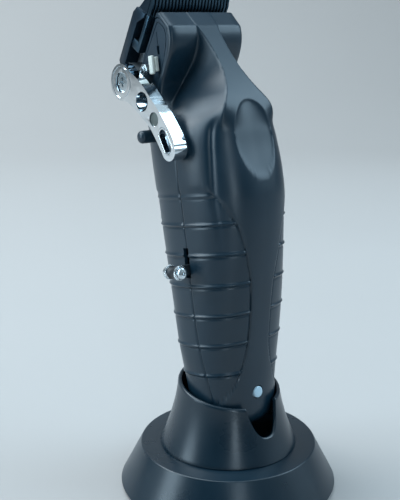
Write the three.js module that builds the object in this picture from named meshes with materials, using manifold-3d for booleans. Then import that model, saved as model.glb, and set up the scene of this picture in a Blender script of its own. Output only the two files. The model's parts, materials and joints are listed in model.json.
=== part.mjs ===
// Cordless hair clipper standing in its round charging stand.
// Millimetres, +Z up. The origin is the middle of the stand's foot pad, on the surface it stands on.
// The clipper's front (thumb side) faces -Y and its taper lever and power slide are on the -X side.
// The clipper leans back in its cup, so its pieces live in a turned group of their own: there Z is the
// handle's length from the lip of the tail, and -Y is the front. The blades have one more group: there Z
// runs along the blade towards the teeth and Y is square to the blade, away from the head.
import * as THREE from "three";
import { mergeVertices } from "three/addons/utils/BufferGeometryUtils.js";
import Module from "manifold-3d";

const wasm = await Module();
wasm.setup();

// ---------------------------------------------------------------- driving sizes
const GAP = 0.3; // clearance between pieces that touch
const RUN = 0.35; // clearance round a moving piece

// stand
const BASE_RADIUS = 47.8;
const BASE_LIP = 1.6; // rounded edge at the foot
const BASE_HEIGHT = 19.8;
const LEDGE_RADIUS = 38.7;
const STAND_WALL = 2.2;
const CUP_ROOT_RADIUS = 30.4;
const CUP_RIM_RADIUS = 22.2;
const CUP_RIM_HEIGHT = 47; // at the middle of the slanted rim
const CUP_WALL = 1.5;
const CUP_FLOOR = 23.6; // height of the inside floor
const CUP_FLOOR_THICK = 2.2;
const SPIGOT_RADIUS = 25.5; // the cup's plug into the base
const NOTCH_WIDTH = 16;
const NOTCH_BOTTOM = 30.2;
const FOOT_PAD_THICK = 1.6;
const FOOT_PAD_RADIUS = 41;
const PLATE_THICK = 2.4;
const WEIGHT_THICK = 4.5;

// clipper place
const LEAN = 9.4; // degrees, backwards
const TAIL_LIP = [0, -11.5, 38];

// clipper body
const TAIL_END = -6;
const TAIL_ROUND = 7;
const SHELL_WALL = 2.2;
const NECK_WALL = 1.3; // round the drive fork
const SEAM_Y = 0.5; // the plane where the front and back shells meet
const HEAD_TOP = 168.6;
const HEAD_HALF = 19.4;
const DISH = { z: 115.5, halfWidth: 9.8, halfHeight: 15.5, depth: 2.0 };

// blades
const BLADE_TILT = 38; // degrees, between the handle and the blade
const BLADE_ORIGIN = [0, 19, 154];
const BLADE_WIDTH = 42;
const BLADE_FACE = 12.4; // outer face of the fixed blade above the head's rear plane
const BLADE_BODY = 4.2; // thickness of the fixed blade
const BLADE_HEEL = -11;
const BLADE_TIP = 27;
const BEVEL_START = 12.5;
const TOOTH_PITCH = 1.72;
const TOOTH_GAP = 0.75;
const FIXED_TEETH = 24;
const CUTTER_WIDTH = 41;
const CUTTER_THICK = 2;
const CUTTER_FACE = 4.4; // outer face of the cutter, the side on the fixed blade
const TOOTH_ROOT = 15.5;

// taper lever
const LEVER_INNER = 25.2;
const LEVER_THICK = 4.2;
const LEVER_PIVOT = [23.2, 143.4];
const PIN_THROW = 3.3; // cam pin from the pivot

// drive
const MOTOR_RADIUS = 12;
const MOTOR_BOTTOM = 94;
const MOTOR_TOP = 124;
const MOTOR_Y = 7;
const SHAFT_RADIUS = 1;
const CRANK = 1.1; // eccentric offset, and the cutter's travel each way
const CRANK_PIN = 0.7;
const BEARING_RADIUS = 1.35;

// power
const CELL_RADIUS = 9.1;
const CELL_LENGTH = 65;
const CELL_Y = 8;
const BOARD_THICK = 1.6;

// power slide
const SLOT_TOP = 74;
const SLOT_BOTTOM = 61.6;
const SLOT_WIDTH = 3;
const KNOB = { x: -29.2, y: 1, z: 65.1, radius: 2.6, collar: 3 };

// ---------------------------------------------------------------- finishes
const finish = (color, roughness, metalness = 0) => ({ color, roughness, metalness });
const BLACK_ABS = finish("#20262c", 0.48);
const DARK_ABS = finish("#14181c", 0.55);
const CHROME = finish("#dfe4e8", 0.12, 1);
const STEEL = finish("#8f969c", 0.3, 1);
const BLACK_STEEL = finish("#1b2026", 0.32, 0.7);
const BRASS = finish("#b8934a", 0.35, 1);
const COPPER = finish("#c98f5a", 0.35, 1);
const NYLON = finish("#dcdcd2", 0.5);
const RUBBER = finish("#17191b", 0.9);
const GREEN_BOARD = finish("#1d5a3c", 0.5);
const LENS_WHITE = finish("#e9eef2", 0.2);
const CELL_WRAP = finish("#2f6f9f", 0.4);
const ZINC = finish("#9aa0a4", 0.45, 0.9);

// ---------------------------------------------------------------- shape helpers
const degrees = THREE.MathUtils.degToRad;

// A closed geometry as a solid that can be joined and cut.
function solid(geometry) {
  const bare = geometry.index ? geometry.toNonIndexed() : geometry.clone();
  bare.deleteAttribute("normal");
  bare.deleteAttribute("uv");
  const merged = mergeVertices(bare, 1e-4);
  return new wasm.Manifold(
    new wasm.Mesh({
      numProp: 3,
      vertProperties: merged.attributes.position.array,
      triVerts: new Uint32Array(merged.index.array),
    }),
  );
}

// A solid back as a geometry.
function geometryOf(made) {
  const mesh = made.getMesh();
  const geometry = new THREE.BufferGeometry();
  geometry.setAttribute("position", new THREE.BufferAttribute(new Float32Array(mesh.vertProperties), 3));
  geometry.setIndex(new THREE.BufferAttribute(new Uint32Array(mesh.triVerts), 1));
  return geometry;
}

const joined = (...solids) => solids.reduce((sum, next) => sum.add(next));
const cutBy = (first, ...tools) => tools.reduce((sum, tool) => sum.subtract(tool), first);

// A box from its low and high corners.
function box(low, high) {
  const size = high.map((value, axis) => value - low[axis]);
  const middle = high.map((value, axis) => (value + low[axis]) / 2);
  return solid(new THREE.BoxGeometry(...size).translate(...middle));
}

// A round bar from one point to another.
function bar(from, to, radius, segments = 16, endRadius = radius) {
  const start = new THREE.Vector3(...from);
  const run = new THREE.Vector3(...to).sub(start);
  const turn = new THREE.Quaternion().setFromUnitVectors(
    new THREE.Vector3(0, 1, 0),
    run.clone().normalize(),
  );
  const geometry = new THREE.CylinderGeometry(endRadius, radius, run.length(), segments);
  geometry.applyQuaternion(turn);
  return solid(geometry.translate(...start.add(run.multiplyScalar(0.5)).toArray()));
}

// A turned piece about Z: the profile is [radius, height] pairs, and it closes on itself.
function turned(profile, segments = 48) {
  let area = 0;
  profile.forEach(([r, z], i) => {
    const [nextR, nextZ] = profile[(i + 1) % profile.length];
    area += r * nextZ - nextR * z;
  });
  const ordered = area > 0 ? profile : [...profile].reverse();
  const points = [...ordered, ordered[0]].map(([r, z]) => new THREE.Vector2(r, z));
  return solid(new THREE.LatheGeometry(points, segments).rotateX(Math.PI / 2));
}

// A flat outline of [y, z] pairs drawn out along X.
function slab(outline, fromX, toX) {
  const shape = new THREE.Shape(outline.map(([y, z]) => new THREE.Vector2(y, z)));
  const geometry = new THREE.ExtrudeGeometry(shape, { depth: toX - fromX, bevelEnabled: false });
  const axes = new THREE.Matrix4().makeBasis(
    new THREE.Vector3(0, 1, 0),
    new THREE.Vector3(0, 0, 1),
    new THREE.Vector3(1, 0, 0),
  );
  return solid(geometry.applyMatrix4(axes).translate(fromX, 0, 0));
}

// Rings of points, all with the same count, skinned into one closed body.
function skinned(rings) {
  const count = rings[0].length;
  const positions = [];
  const put = (...points) => points.forEach((p) => positions.push(p.x, p.y, p.z));
  for (let level = 0; level < rings.length - 1; level++)
    for (let i = 0; i < count; i++) {
      const next = (i + 1) % count;
      const [a, b] = [rings[level][i], rings[level][next]];
      const [c, d] = [rings[level + 1][next], rings[level + 1][i]];
      put(a, b, c, a, c, d);
    }
  for (const [ring, down] of [[rings[0], true], [rings[rings.length - 1], false]]) {
    const middle = ring.reduce((sum, p) => sum.add(p), new THREE.Vector3()).divideScalar(count);
    for (let i = 0; i < count; i++) {
      const next = ring[(i + 1) % count];
      if (down) put(middle, next, ring[i]);
      else put(middle, ring[i], next);
    }
  }
  const geometry = new THREE.BufferGeometry();
  geometry.setAttribute("position", new THREE.Float32BufferAttribute(positions, 3));
  return solid(geometry);
}

// A smooth value through [place, value] knots.
function through(knots, place) {
  let i = knots.findIndex(([at]) => at > place) - 1;
  if (i === -2) i = knots.length - 2;
  i = THREE.MathUtils.clamp(i, 0, knots.length - 2);
  const slope = (k) => {
    const low = knots[Math.max(k - 1, 0)];
    const high = knots[Math.min(k + 1, knots.length - 1)];
    return (high[1] - low[1]) / (high[0] - low[0]);
  };
  const [x0, y0] = knots[i];
  const [x1, y1] = knots[i + 1];
  const span = x1 - x0;
  const t = THREE.MathUtils.clamp((place - x0) / span, 0, 1);
  const t2 = t * t;
  const t3 = t2 * t;
  const bend = (t3 - 2 * t2 + t) * slope(i) + (t3 - t2) * slope(i + 1);
  return (2 * t3 - 3 * t2 + 1) * y0 + (3 * t2 - 2 * t3) * y1 + span * bend;
}

// ---------------------------------------------------------------- body form
// Each list is [height along the handle, size].
const MIDDLE = [[-6, 8.2], [12, 7.2], [25, 6.4], [50, 4.2], [75, 3.2], [100, 3], [118, 6], [135, 12.5], [170, 12.5]];
const CORE_HALF = [
  [-6, 17.8], [4, 18.8], [12, 19.7], [30, 22.2], [50, 23], [75, 23], [100, 23.4], [112, 23], [120, 22], [127, 19.4],
  [133, 15], [139, 10.2], [146, 7], [155, 5.8], [163, 5.3], [170, 5.3],
];
const CORE_FRONT = [
  [-6, -6.8], [0, -7.6], [12, -9.5], [25, -11.6], [50, -17.5], [75, -23], [92, -25.4], [102, -25.2],
  [112, -24], [120, -22.8], [128, -20.8], [136, -17.2], [146, -11.2], [156, -4.6], [161, -1], [163, 0.6], [165, 2.2], [168.6, 5.3],
];
const BACK = [[-6, 23], [0, 23.9], [25, 24.2], [50, 25.9], [75, 28.4], [100, 29.6], [120, 31], [135, 33.4], [150, 37], [170, 42]];
const WING_HALF = [
  [-6, 12], [90, 15], [108, 19.5], [118, 21.4], [128, 21], [140, 19.8], [150, HEAD_HALF], [170, HEAD_HALF],
];
const WING_FRONT = [
  [-6, 4], [100, 2], [112, 0], [124, 3.5], [133, 8.6], [140, 8.8], [146, 5.6], [151, 2.2], [155, 0.3],
  [159, -0.4], [163, 0.6], [165, 2.2], [168.6, 5.3],
];
const CORE_SQUARE = [[-6, 2.2], [50, 2.35], [110, 2.4], [130, 2.8], [150, 4.5], [170, 4.5]];
const WING_SQUARE = [[-6, 4], [122, 4], [140, 12], [150, 16], [170, 16]];
const BACK_SQUARE = 2.5;

const CREASE = 2.5; // how softly the neck's sides run into the hood

// The larger of two sizes, rounded where they meet.
function softMax(a, b) {
  const near = Math.max(CREASE - Math.abs(a - b), 0);
  return Math.max(a, b) + near ** 2 / (4 * CREASE);
}

const superRadius = (cos, sin, half, depth, power) =>
  (Math.abs(cos / half) ** power + Math.abs(sin / depth) ** power) ** (-1 / power);

// Distance of the body's skin from its middle, at a height and an angle (0 is +X, 90 degrees is the back).
// The space inside runs up the neck without the hood's side wings.
function skinRadius(z, angle, inside = false) {
  const [cos, sin] = [Math.cos(angle), Math.sin(angle)];
  const middle = through(MIDDLE, z);
  const rear = through(BACK, z) - middle;
  const [coreHalf, wingHalf] = [through(CORE_HALF, z), through(WING_HALF, z)];
  const back = Math.max(
    superRadius(cos, sin, coreHalf, rear, BACK_SQUARE),
    superRadius(cos, sin, wingHalf, rear, BACK_SQUARE),
  );
  if (sin > 0) return back;
  const core = superRadius(cos, sin, coreHalf, middle - through(CORE_FRONT, z), through(CORE_SQUARE, z));
  if (inside) return core;
  const wing = superRadius(cos, sin, wingHalf, middle - through(WING_FRONT, z), through(WING_SQUARE, z));
  const front = softMax(core, wing);
  const x = front * cos;
  const inDish = 1 - (x / DISH.halfWidth) ** 2 - ((z - DISH.z) / DISH.halfHeight) ** 2;
  return front - DISH.depth * Math.max(inDish, 0) ** 0.7;
}

// Angles round the body at a height, closer together at the front and with one on the hood's corner.
function ringAngles(z, around) {
  const quarter = around / 4;
  const toCorner = Math.round(quarter * 0.6);
  const hooded = THREE.MathUtils.smoothstep(z, 118, 140);
  const corner = Math.atan2(through(WING_FRONT, z) - through(MIDDLE, z), through(WING_HALF, z));
  const turn = THREE.MathUtils.lerp(-degrees(36), corner, hooded);
  const right = [];
  for (let i = 0; i < quarter; i++)
    right.push(
      i < toCorner
        ? -Math.PI / 2 + ((turn + Math.PI / 2) * i) / toCorner
        : turn * (1 - (i - toCorner) / (quarter - toCorner)),
    );
  const rear = Array.from({ length: 2 * quarter }, (_, i) => (Math.PI * i) / (2 * quarter));
  const left = right.slice(1).map((angle) => Math.PI - angle).reverse();
  return [...right, ...rear, Math.PI, ...left];
}

// The body as a closed solid, drawn in by a wall thickness, between two heights.
function bodyForm(inset, levels, around) {
  const bottom = levels[0];
  const rings = [];
  for (const z of levels) {
    const short = Math.max(0, 1 - (z - bottom) / TAIL_ROUND);
    const wall = inset - THREE.MathUtils.smoothstep(z, 128, 136) * Math.min(inset, SHELL_WALL - NECK_WALL);
    const tuck = wall + TAIL_ROUND * (1 - Math.sqrt(1 - short ** 2)) * 0.85;
    const middle = through(MIDDLE, z);
    rings.push(
      ringAngles(z, around).map((angle) => {
        const radius = Math.max(skinRadius(z, angle, inset > 0) - tuck, 1.2);
        return new THREE.Vector3(radius * Math.cos(angle), middle + radius * Math.sin(angle), z);
      }),
    );
  }
  return skinned(rings);
}

// Heights of the body's rings: close at the rounded tail, wide along the grip, close again at the head.
function levelsBetween(bottom, top, grip, neck) {
  const levels = [0, 0.06, 0.2, 0.45, 1].map((share) => bottom + TAIL_ROUND * share);
  const stretches = [[NECK_START, grip], [top, neck]];
  for (const [end, step] of stretches) {
    const start = levels[levels.length - 1];
    const count = Math.round((end - start) / step);
    for (let i = 1; i <= count; i++) levels.push(start + ((end - start) * i) / count);
  }
  return levels;
}

const NECK_START = 114;
const FAR = 80; // larger than any part of the body
const bladeMatrix = new THREE.Matrix4()
  .makeRotationX(degrees(BLADE_TILT))
  .setPosition(...BLADE_ORIGIN);

// A box given along and square to the blade, in the handle's frame.
function boxOnBlade(low, high) {
  const size = high.map((value, axis) => value - low[axis]);
  const middle = high.map((value, axis) => (value + low[axis]) / 2);
  return solid(new THREE.BoxGeometry(...size).translate(...middle).applyMatrix4(bladeMatrix));
}

// ---------------------------------------------------------------- scene graph
const root = new THREE.Group();
const clipper = new THREE.Group();
clipper.position.set(...TAIL_LIP);
clipper.rotation.x = -degrees(LEAN);
root.add(clipper);
const blades = new THREE.Group();
blades.position.set(...BLADE_ORIGIN);
blades.rotation.x = degrees(BLADE_TILT);
clipper.add(blades);

function add(group, name, made, look) {
  const mesh = new THREE.Mesh(geometryOf(made), new THREE.MeshStandardMaterial(look));
  mesh.name = name;
  group.add(mesh);
}

// ---------------------------------------------------------------- stand
// The cup's outside flares towards its root.
const FLARE = 1.9;
const cupRadius = (z) => {
  const share = Math.max(0, (CUP_RIM_HEIGHT - z) / (CUP_RIM_HEIGHT - BASE_HEIGHT));
  const rise = Math.max(0, z - CUP_RIM_HEIGHT) * 0.12;
  return CUP_RIM_RADIUS - rise + (CUP_ROOT_RADIUS - CUP_RIM_RADIUS) * (0.35 * share + 0.65 * share ** FLARE);
};

const PLATE_BOTTOM = FOOT_PAD_THICK + GAP;
const PLATE_TOP = PLATE_BOTTOM + PLATE_THICK;
const PLATE_RADIUS = BASE_RADIUS - STAND_WALL - 1.4;
const LEDGE_UNDER = BASE_HEIGHT - STAND_WALL;
const BOSS_RADIUS = 3;
const SCREW_CIRCLE = LEDGE_RADIUS - STAND_WALL - BOSS_RADIUS - 1.5;
const SCREW_SHANK = 1.25;
const SCREW_HEAD = 2.3;
const STAND_SCREWS = [30, 150, 270].map((turn) => [
  SCREW_CIRCLE * Math.cos(degrees(turn)),
  SCREW_CIRCLE * Math.sin(degrees(turn)),
]);
const SOCKET = { half: 4.5, low: 5.2, high: 9, depth: 10 };
const socketFace = BASE_RADIUS - 3.6;

function standBase() {
  const shell = turned([
    [PLATE_RADIUS + GAP, BASE_LIP - 0.4],
    [BASE_RADIUS - BASE_LIP, BASE_LIP - 0.4],
    [BASE_RADIUS - BASE_LIP * 0.3, BASE_LIP * 0.7],
    [BASE_RADIUS, BASE_LIP * 1.8],
    [LEDGE_RADIUS + 0.6, BASE_HEIGHT - 0.5],
    [LEDGE_RADIUS, BASE_HEIGHT],
    [SPIGOT_RADIUS + GAP, BASE_HEIGHT],
    [SPIGOT_RADIUS + GAP, LEDGE_UNDER],
    [LEDGE_RADIUS - STAND_WALL, LEDGE_UNDER],
    [PLATE_RADIUS + GAP, PLATE_TOP + 0.6],
  ]);
  const bosses = STAND_SCREWS.map(([x, y]) =>
    bar([x, y, PLATE_TOP + GAP], [x, y, LEDGE_UNDER + 1], BOSS_RADIUS),
  );
  const bores = STAND_SCREWS.map(([x, y]) => bar([x, y, 0], [x, y, LEDGE_UNDER - 2], SCREW_SHANK + 0.1, 12));
  const mouth = box(
    [-SOCKET.half - GAP, SCREW_CIRCLE, SOCKET.low - GAP],
    [SOCKET.half + GAP, BASE_RADIUS + 2, SOCKET.high + GAP],
  );
  return cutBy(joined(shell, ...bosses), ...bores, mouth);
}

// The dock's frame is the clipper's: the block and its pins lean with the tail.
const CONTACT_X = 3;
const CONTACT_Y = 8;
const BLOCK = { half: 6.5, front: 4, back: 12, low: -19, high: -9.6 };
const SLEEVE_RADIUS = 2;
const SLEEVE_BORE = 1.5;
const PLUNGER_RADIUS = 1;
const CONTACT_FACE = TAIL_END - 0.3;

const dockMatrix = new THREE.Matrix4().makeRotationX(-degrees(LEAN)).setPosition(...TAIL_LIP);

function standCup() {
  const top = CUP_RIM_HEIGHT + 8;
  const outside = [0, 0.2, 0.4, 0.6, 0.8, 1].map((share) => {
    const z = BASE_HEIGHT + GAP + (top - BASE_HEIGHT - GAP) * share;
    return [cupRadius(z), z];
  });
  const inside = [1, 0.75, 0.5, 0.25, 0].map((share) => {
    const z = CUP_FLOOR + (top - CUP_FLOOR) * share;
    return [cupRadius(z) - CUP_WALL, z];
  });
  const wall = turned([
    [SPIGOT_RADIUS - CUP_WALL, LEDGE_UNDER - 3],
    [SPIGOT_RADIUS, LEDGE_UNDER - 3],
    [SPIGOT_RADIUS, BASE_HEIGHT + GAP],
    ...outside,
    ...inside,
    [0, CUP_FLOOR],
    [0, CUP_FLOOR - CUP_FLOOR_THICK],
    [SPIGOT_RADIUS - CUP_WALL, CUP_FLOOR - CUP_FLOOR_THICK],
  ]);
  const run = CUP_RIM_RADIUS * 2;
  const rise = run * Math.tan(degrees(LEAN)); // the rim is square to the clipper
  const above = slab(
    [[-run, CUP_RIM_HEIGHT - rise], [run, CUP_RIM_HEIGHT + rise], [run, 90], [-run, 90]],
    -FAR,
    FAR,
  );
  const notchTop = CUP_RIM_HEIGHT - rise / 2;
  const half = NOTCH_WIDTH / 2;
  const curve = [];
  for (let i = 0; i <= 10; i++) {
    const x = half * (i / 5 - 1);
    curve.push([x, NOTCH_BOTTOM + (notchTop - NOTCH_BOTTOM) * Math.abs(x / half) ** 2.6]);
  }
  const notchShape = new THREE.Shape(
    [...curve, [half, 60], [-half, 60]].map(([x, z]) => new THREE.Vector2(x, z)),
  );
  const notch = new THREE.ExtrudeGeometry(notchShape, { depth: 40, bevelEnabled: false });
  notch.rotateX(Math.PI / 2);
  const hole = new THREE.BoxGeometry(
    2 * (BLOCK.half + GAP),
    BLOCK.back - BLOCK.front + 2 * GAP,
    BLOCK.high - BLOCK.low,
  );
  hole.translate(0, (BLOCK.front + BLOCK.back) / 2, (BLOCK.low + BLOCK.high) / 2).applyMatrix4(dockMatrix);
  return cutBy(wall, above, solid(notch), solid(hole));
}

function addStand() {
  const cores = STAND_SCREWS.map(([x, y]) => bar([x, y, -1], [x, y, 6], SCREW_SHANK + GAP, 12));
  const heads = STAND_SCREWS.map(([x, y]) => bar([x, y, -1], [x, y, PLATE_BOTTOM + 1], SCREW_HEAD + GAP));
  add(root, "stand_foot_pad", cutBy(bar([0, 0, 0], [0, 0, FOOT_PAD_THICK], FOOT_PAD_RADIUS, 48), ...heads), RUBBER);
  const plate = bar([0, 0, PLATE_BOTTOM], [0, 0, PLATE_TOP], PLATE_RADIUS, 48);
  add(root, "stand_bottom_plate", cutBy(plate, ...cores, ...heads), DARK_ABS);
  add(root, "stand_base_shell", standBase(), BLACK_ABS);
  add(root, "stand_cup", standCup(), BLACK_ABS);
  STAND_SCREWS.forEach(([x, y], i) => {
    const headTop = PLATE_BOTTOM + 0.8;
    const screw = joined(
      bar([x, y, headTop - 1.4], [x, y, headTop], SCREW_HEAD),
      bar([x, y, headTop - 0.2], [x, y, LEDGE_UNDER - 5], SCREW_SHANK, 12),
    );
    add(root, `stand_screw_${i + 1}`, screw, STEEL);
  });
  const weightLow = PLATE_TOP + GAP;
  const weightOuter = SCREW_CIRCLE - BOSS_RADIUS - 0.8;
  const weight = turned([
    [13, weightLow],
    [weightOuter, weightLow],
    [weightOuter, weightLow + WEIGHT_THICK],
    [13, weightLow + WEIGHT_THICK],
  ]);
  add(root, "stand_weight", weight, ZINC);
  const boardLow = weightLow + WEIGHT_THICK + GAP + 1;
  const board = joined(
    box([-15, -13, boardLow], [15, 13, boardLow + BOARD_THICK]),
    box([-4, -11, boardLow + 1], [3, -5, boardLow + BOARD_THICK + 1.4]),
    box([6, -10, boardLow + 1], [11, -6, boardLow + BOARD_THICK + 2]),
  );
  add(root, "stand_circuit_board", board, GREEN_BOARD);
  const socket = cutBy(
    box([-SOCKET.half, socketFace - SOCKET.depth, SOCKET.low], [SOCKET.half, socketFace, SOCKET.high]),
    box([-SOCKET.half + 0.7, socketFace - 6, SOCKET.low + 0.7], [SOCKET.half - 0.7, socketFace + 1, SOCKET.high - 0.7]),
  );
  const tongue = box([-2.8, socketFace - 7, 6.8], [2.8, socketFace - 1, 7.4]);
  add(root, "stand_power_socket", joined(socket, tongue), STEEL);
}

function addDock() {
  const block = cutBy(
    box([-BLOCK.half, BLOCK.front, BLOCK.low], [BLOCK.half, BLOCK.back, BLOCK.high]),
    ...[-CONTACT_X, CONTACT_X].map((x) =>
      bar([x, CONTACT_Y, BLOCK.low - 1], [x, CONTACT_Y, BLOCK.high + 1], SLEEVE_RADIUS + 0.2),
    ),
  );
  add(clipper, "contact_block", block, DARK_ABS);
  for (const [side, x] of [["left", -CONTACT_X], ["right", CONTACT_X]]) {
    const sleeve = cutBy(
      bar([x, CONTACT_Y, BLOCK.low + 0.4], [x, CONTACT_Y, BLOCK.high - 1.6], SLEEVE_RADIUS),
      bar([x, CONTACT_Y, BLOCK.low - 1], [x, CONTACT_Y, BLOCK.high + 1], SLEEVE_BORE),
    );
    add(clipper, `contact_sleeve_${side}`, sleeve, BRASS);
    const plunger = bar([x, CONTACT_Y, -13], [x, CONTACT_Y, CONTACT_FACE - GAP], PLUNGER_RADIUS);
    add(clipper, `contact_pin_${side}`, plunger, BRASS);
    add(clipper, `contact_spring_${side}`, coil(x, CONTACT_Y, BLOCK.low + 0.8, -13 - RUN, 0.95, 0.2, 4), STEEL);
  }
}

// A wire coil about an axis along Z, closed at both ends.
function coil(x, y, low, high, radius, wire, turns) {
  class Helix extends THREE.Curve {
    getPoint(t, target = new THREE.Vector3()) {
      const angle = 2 * Math.PI * turns * t;
      return target.set(
        x + radius * Math.cos(angle),
        y + radius * Math.sin(angle),
        low + wire + (high - low - 2 * wire) * t,
      );
    }
  }
  const section = new THREE.Shape();
  section.absarc(0, 0, wire, 0, 2 * Math.PI);
  return solid(
    new THREE.ExtrudeGeometry(section, {
      steps: 9 * turns,
      curveSegments: 2,
      extrudePath: new Helix(),
      bevelEnabled: false,
    }),
  );
}

// ---------------------------------------------------------------- shells
const HEEL_ROOM = 2.8; // room behind the blade's heel for its adjustment
const rearCut = boxOnBlade([-FAR, 0, BLADE_HEEL - HEEL_ROOM], [FAR, FAR, FAR]);

// The cast head's side outline, inside the hood's edge by a border. The rear edge is the head's rear plane.
const BORDER = 1.6;
const rearPlaneY = (z) => BLADE_ORIGIN[1] - (z - BLADE_ORIGIN[2]) * Math.tan(degrees(BLADE_TILT));
const CHEEK_TOP = HEAD_TOP - 2;
const CHEEK_FOOT = 141.6;
const REAR_INSET = 0.3;
const CHEEK = [
  [rearPlaneY(CHEEK_TOP) - REAR_INSET, CHEEK_TOP],
  [6.9, CHEEK_TOP - 0.2],
  [3.6, 163.6],
  [BORDER + 0.6, 159.8],
  [2.5, 155.6],
  [4, 152.4],
  [9.4, 144.6],
  [15.5, 137.2],
  [rearPlaneY(CHEEK_FOOT) - REAR_INSET, CHEEK_FOOT],
];

// An outline grown or shrunk about its own middle.
function grown(outline, amount) {
  const middle = [0, 1].map((axis) => outline.reduce((sum, p) => sum + p[axis], 0) / outline.length);
  return outline.map(([y, z]) => {
    const reach = Math.hypot(y - middle[0], z - middle[1]);
    const scale = (reach + amount) / reach;
    return [middle[0] + (y - middle[0]) * scale, middle[1] + (z - middle[1]) * scale];
  });
}

const HOUSING_SCREWS = [
  ["lower_left", -15.6, 30],
  ["lower_right", 15.6, 30],
  ["upper_left", -15.6, 86],
  ["upper_right", 15.6, 86],
];
const HOUSING_BOSS = 2.9;
const HOUSING_SHANK = 1.2;
const HOUSING_HEAD = 2.2;

// Where a line along Y through (x, z) leaves the body's back.
function backSkin(x, z) {
  const middle = through(MIDDLE, z);
  const rear = through(BACK, z) - middle;
  const half = through(CORE_HALF, z);
  return middle + rear * (1 - Math.abs(x / half) ** BACK_SQUARE) ** (1 / BACK_SQUARE);
}

const LED = { z: 9.1, radius: 3 };
const SOCKET_TAIL = { half: 4.2, front: 13.2, back: 17 };
const STOP_PEG = { y: 12.2, z: 120.3, radius: 2.6, inner: -17, outer: -31.5 };
const BOARD = { y: -6.2, half: 9.5, low: 22, high: 80 };
const BOARD_SCREWS = [[-6.5, 30], [6.5, 74]];
const BOARD_SHANK = 0.9;

function shells() {
  const outer = bodyForm(0, levelsBetween(TAIL_END, HEAD_TOP, 11, 2.2), 40);
  const inner = bodyForm(SHELL_WALL, levelsBetween(TAIL_END + SHELL_WALL, HEAD_TOP - SHELL_WALL, 19, 4.4), 20);
  const hollow = outer.subtract(inner);
  const bosses = HOUSING_SCREWS.map(([, x, z]) => bar([x, -40, z], [x, 40, z], HOUSING_BOSS, 12));
  const boardPosts = BOARD_SCREWS.map(([x, z]) => bar([x, -40, z], [x, BOARD.y - GAP, z], 2.3, 12));
  const body = joined(hollow, outer.intersect(joined(...bosses, ...boardPosts)));
  const bores = HOUSING_SCREWS.flatMap(([, x, z]) => [
    bar([x, -3, z], [x, 40, z], HOUSING_SHANK + 0.15, 12),
    bar([x, backSkin(x, z) - 4, z], [x, 45, z], HOUSING_HEAD + GAP, 12),
  ]);
  const boardBores = BOARD_SCREWS.map(([x, z]) => bar([x, BOARD.y - 4, z], [x, 0, z], BOARD_SHANK + 0.12, 10));
  const slot = box([-30, KNOB.y - SLOT_WIDTH / 2, SLOT_BOTTOM], [-15, KNOB.y + SLOT_WIDTH / 2, SLOT_TOP]);
  const ledHole = bar([0, -16, LED.z], [0, -2, LED.z], LED.radius + GAP, 20);
  const cheekSpace = slab(grown(CHEEK, 0.4), -HEAD_HALF - 2, HEAD_HALF + 2);
  const outwards = new THREE.Vector3(0, 2, 0).applyAxisAngle(new THREE.Vector3(1, 0, 0), degrees(BLADE_TILT));
  const cheekHole = cheekSpace.add(cheekSpace.translate(outwards.toArray()));
  const contacts = [-CONTACT_X, CONTACT_X].map((x) => bar([x, CONTACT_Y, -8], [x, CONTACT_Y, 0], 2, 14));
  const port = box([-SOCKET_TAIL.half - GAP, SOCKET_TAIL.front - GAP, -9], [SOCKET_TAIL.half + GAP, SOCKET_TAIL.back + GAP, 1]);
  const peg = bar([STOP_PEG.inner + 3, STOP_PEG.y, STOP_PEG.z], [STOP_PEG.outer, STOP_PEG.y, STOP_PEG.z], STOP_PEG.radius + GAP, 16);
  const earLow = pivotOnBlade.s - EAR.below;
  const earRoom = boxOnBlade(
    [EAR.outer - 2, EAR.lowN - GAP, earLow - HEEL_ROOM],
    [EAR.inner + GAP, FAR, earLow + 2 * HEEL_ROOM],
  );
  const whole = cutBy(
    body, rearCut, earRoom, cheekHole, slot, ledHole, peg, port, ...contacts, ...bores, ...boardBores,
  );
  const half = GAP / 2;
  const split = BLADE_HEEL - HEEL_ROOM - 1.6; // top edge of the back shell, along the blade
  const heelStrip = -1.5; // the back shell's top edge turns up to the blade's heel here
  const headSpace = (margin) =>
    joined(
      boxOnBlade([-FAR, -FAR, split + margin], [FAR, heelStrip - margin, FAR]),
      boxOnBlade([-FAR, -FAR, BLADE_HEEL], [FAR, FAR, FAR]),
    );
  const behind = box([-FAR, SEAM_Y + half, -FAR], [FAR, FAR, 200]).subtract(headSpace(-half));
  const ahead = joined(box([-FAR, -FAR, -FAR], [FAR, SEAM_Y - half, 200]), headSpace(half));
  return { front: whole.intersect(ahead), back: whole.intersect(behind) };
}

// ---------------------------------------------------------------- head and blades
const CHANNEL = 13; // half width of the space between the cheeks
const BRIDGE_FOOT = 161;
const SCREW_BORE = 1.5;

function headFrame() {
  const cheeks = slab(CHEEK, -HEAD_HALF + 0.3, HEAD_HALF - 0.3);
  const channel = box([-CHANNEL, -FAR, 100], [CHANNEL, FAR, BRIDGE_FOOT]);
  const [y, z] = LEVER_PIVOT;
  const bore = bar([-30, y, z], [-CHANNEL + 1, y, z], SCREW_BORE, 12);
  const nutBore = bar([-30, NUT.y, NUT.z], [-CHANNEL + 1, NUT.y, NUT.z], 1.3, 12);
  return cutBy(cheeks, channel, bore, nutBore);
}

const CARRIER = { half: 15, low: -10.8, high: -2.2, inner: 0.6, outer: BLADE_FACE - BLADE_BODY - GAP };
const EAR = { inner: -19.2, outer: -21.8, lowN: -1.1, below: 2.6 }; // below: its end, under the lever's pivot
const BLADE_SCREW_X = 10;
const BLADE_SCREW_S = -6.5;
const pivotOnBlade = (() => {
  const point = new THREE.Vector3(0, ...LEVER_PIVOT).applyMatrix4(bladeMatrix.clone().invert());
  return { n: point.y, s: point.z };
})();
const PIN_RADIUS = 0.7;
const pinN = pivotOnBlade.n + PIN_THROW;

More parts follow.
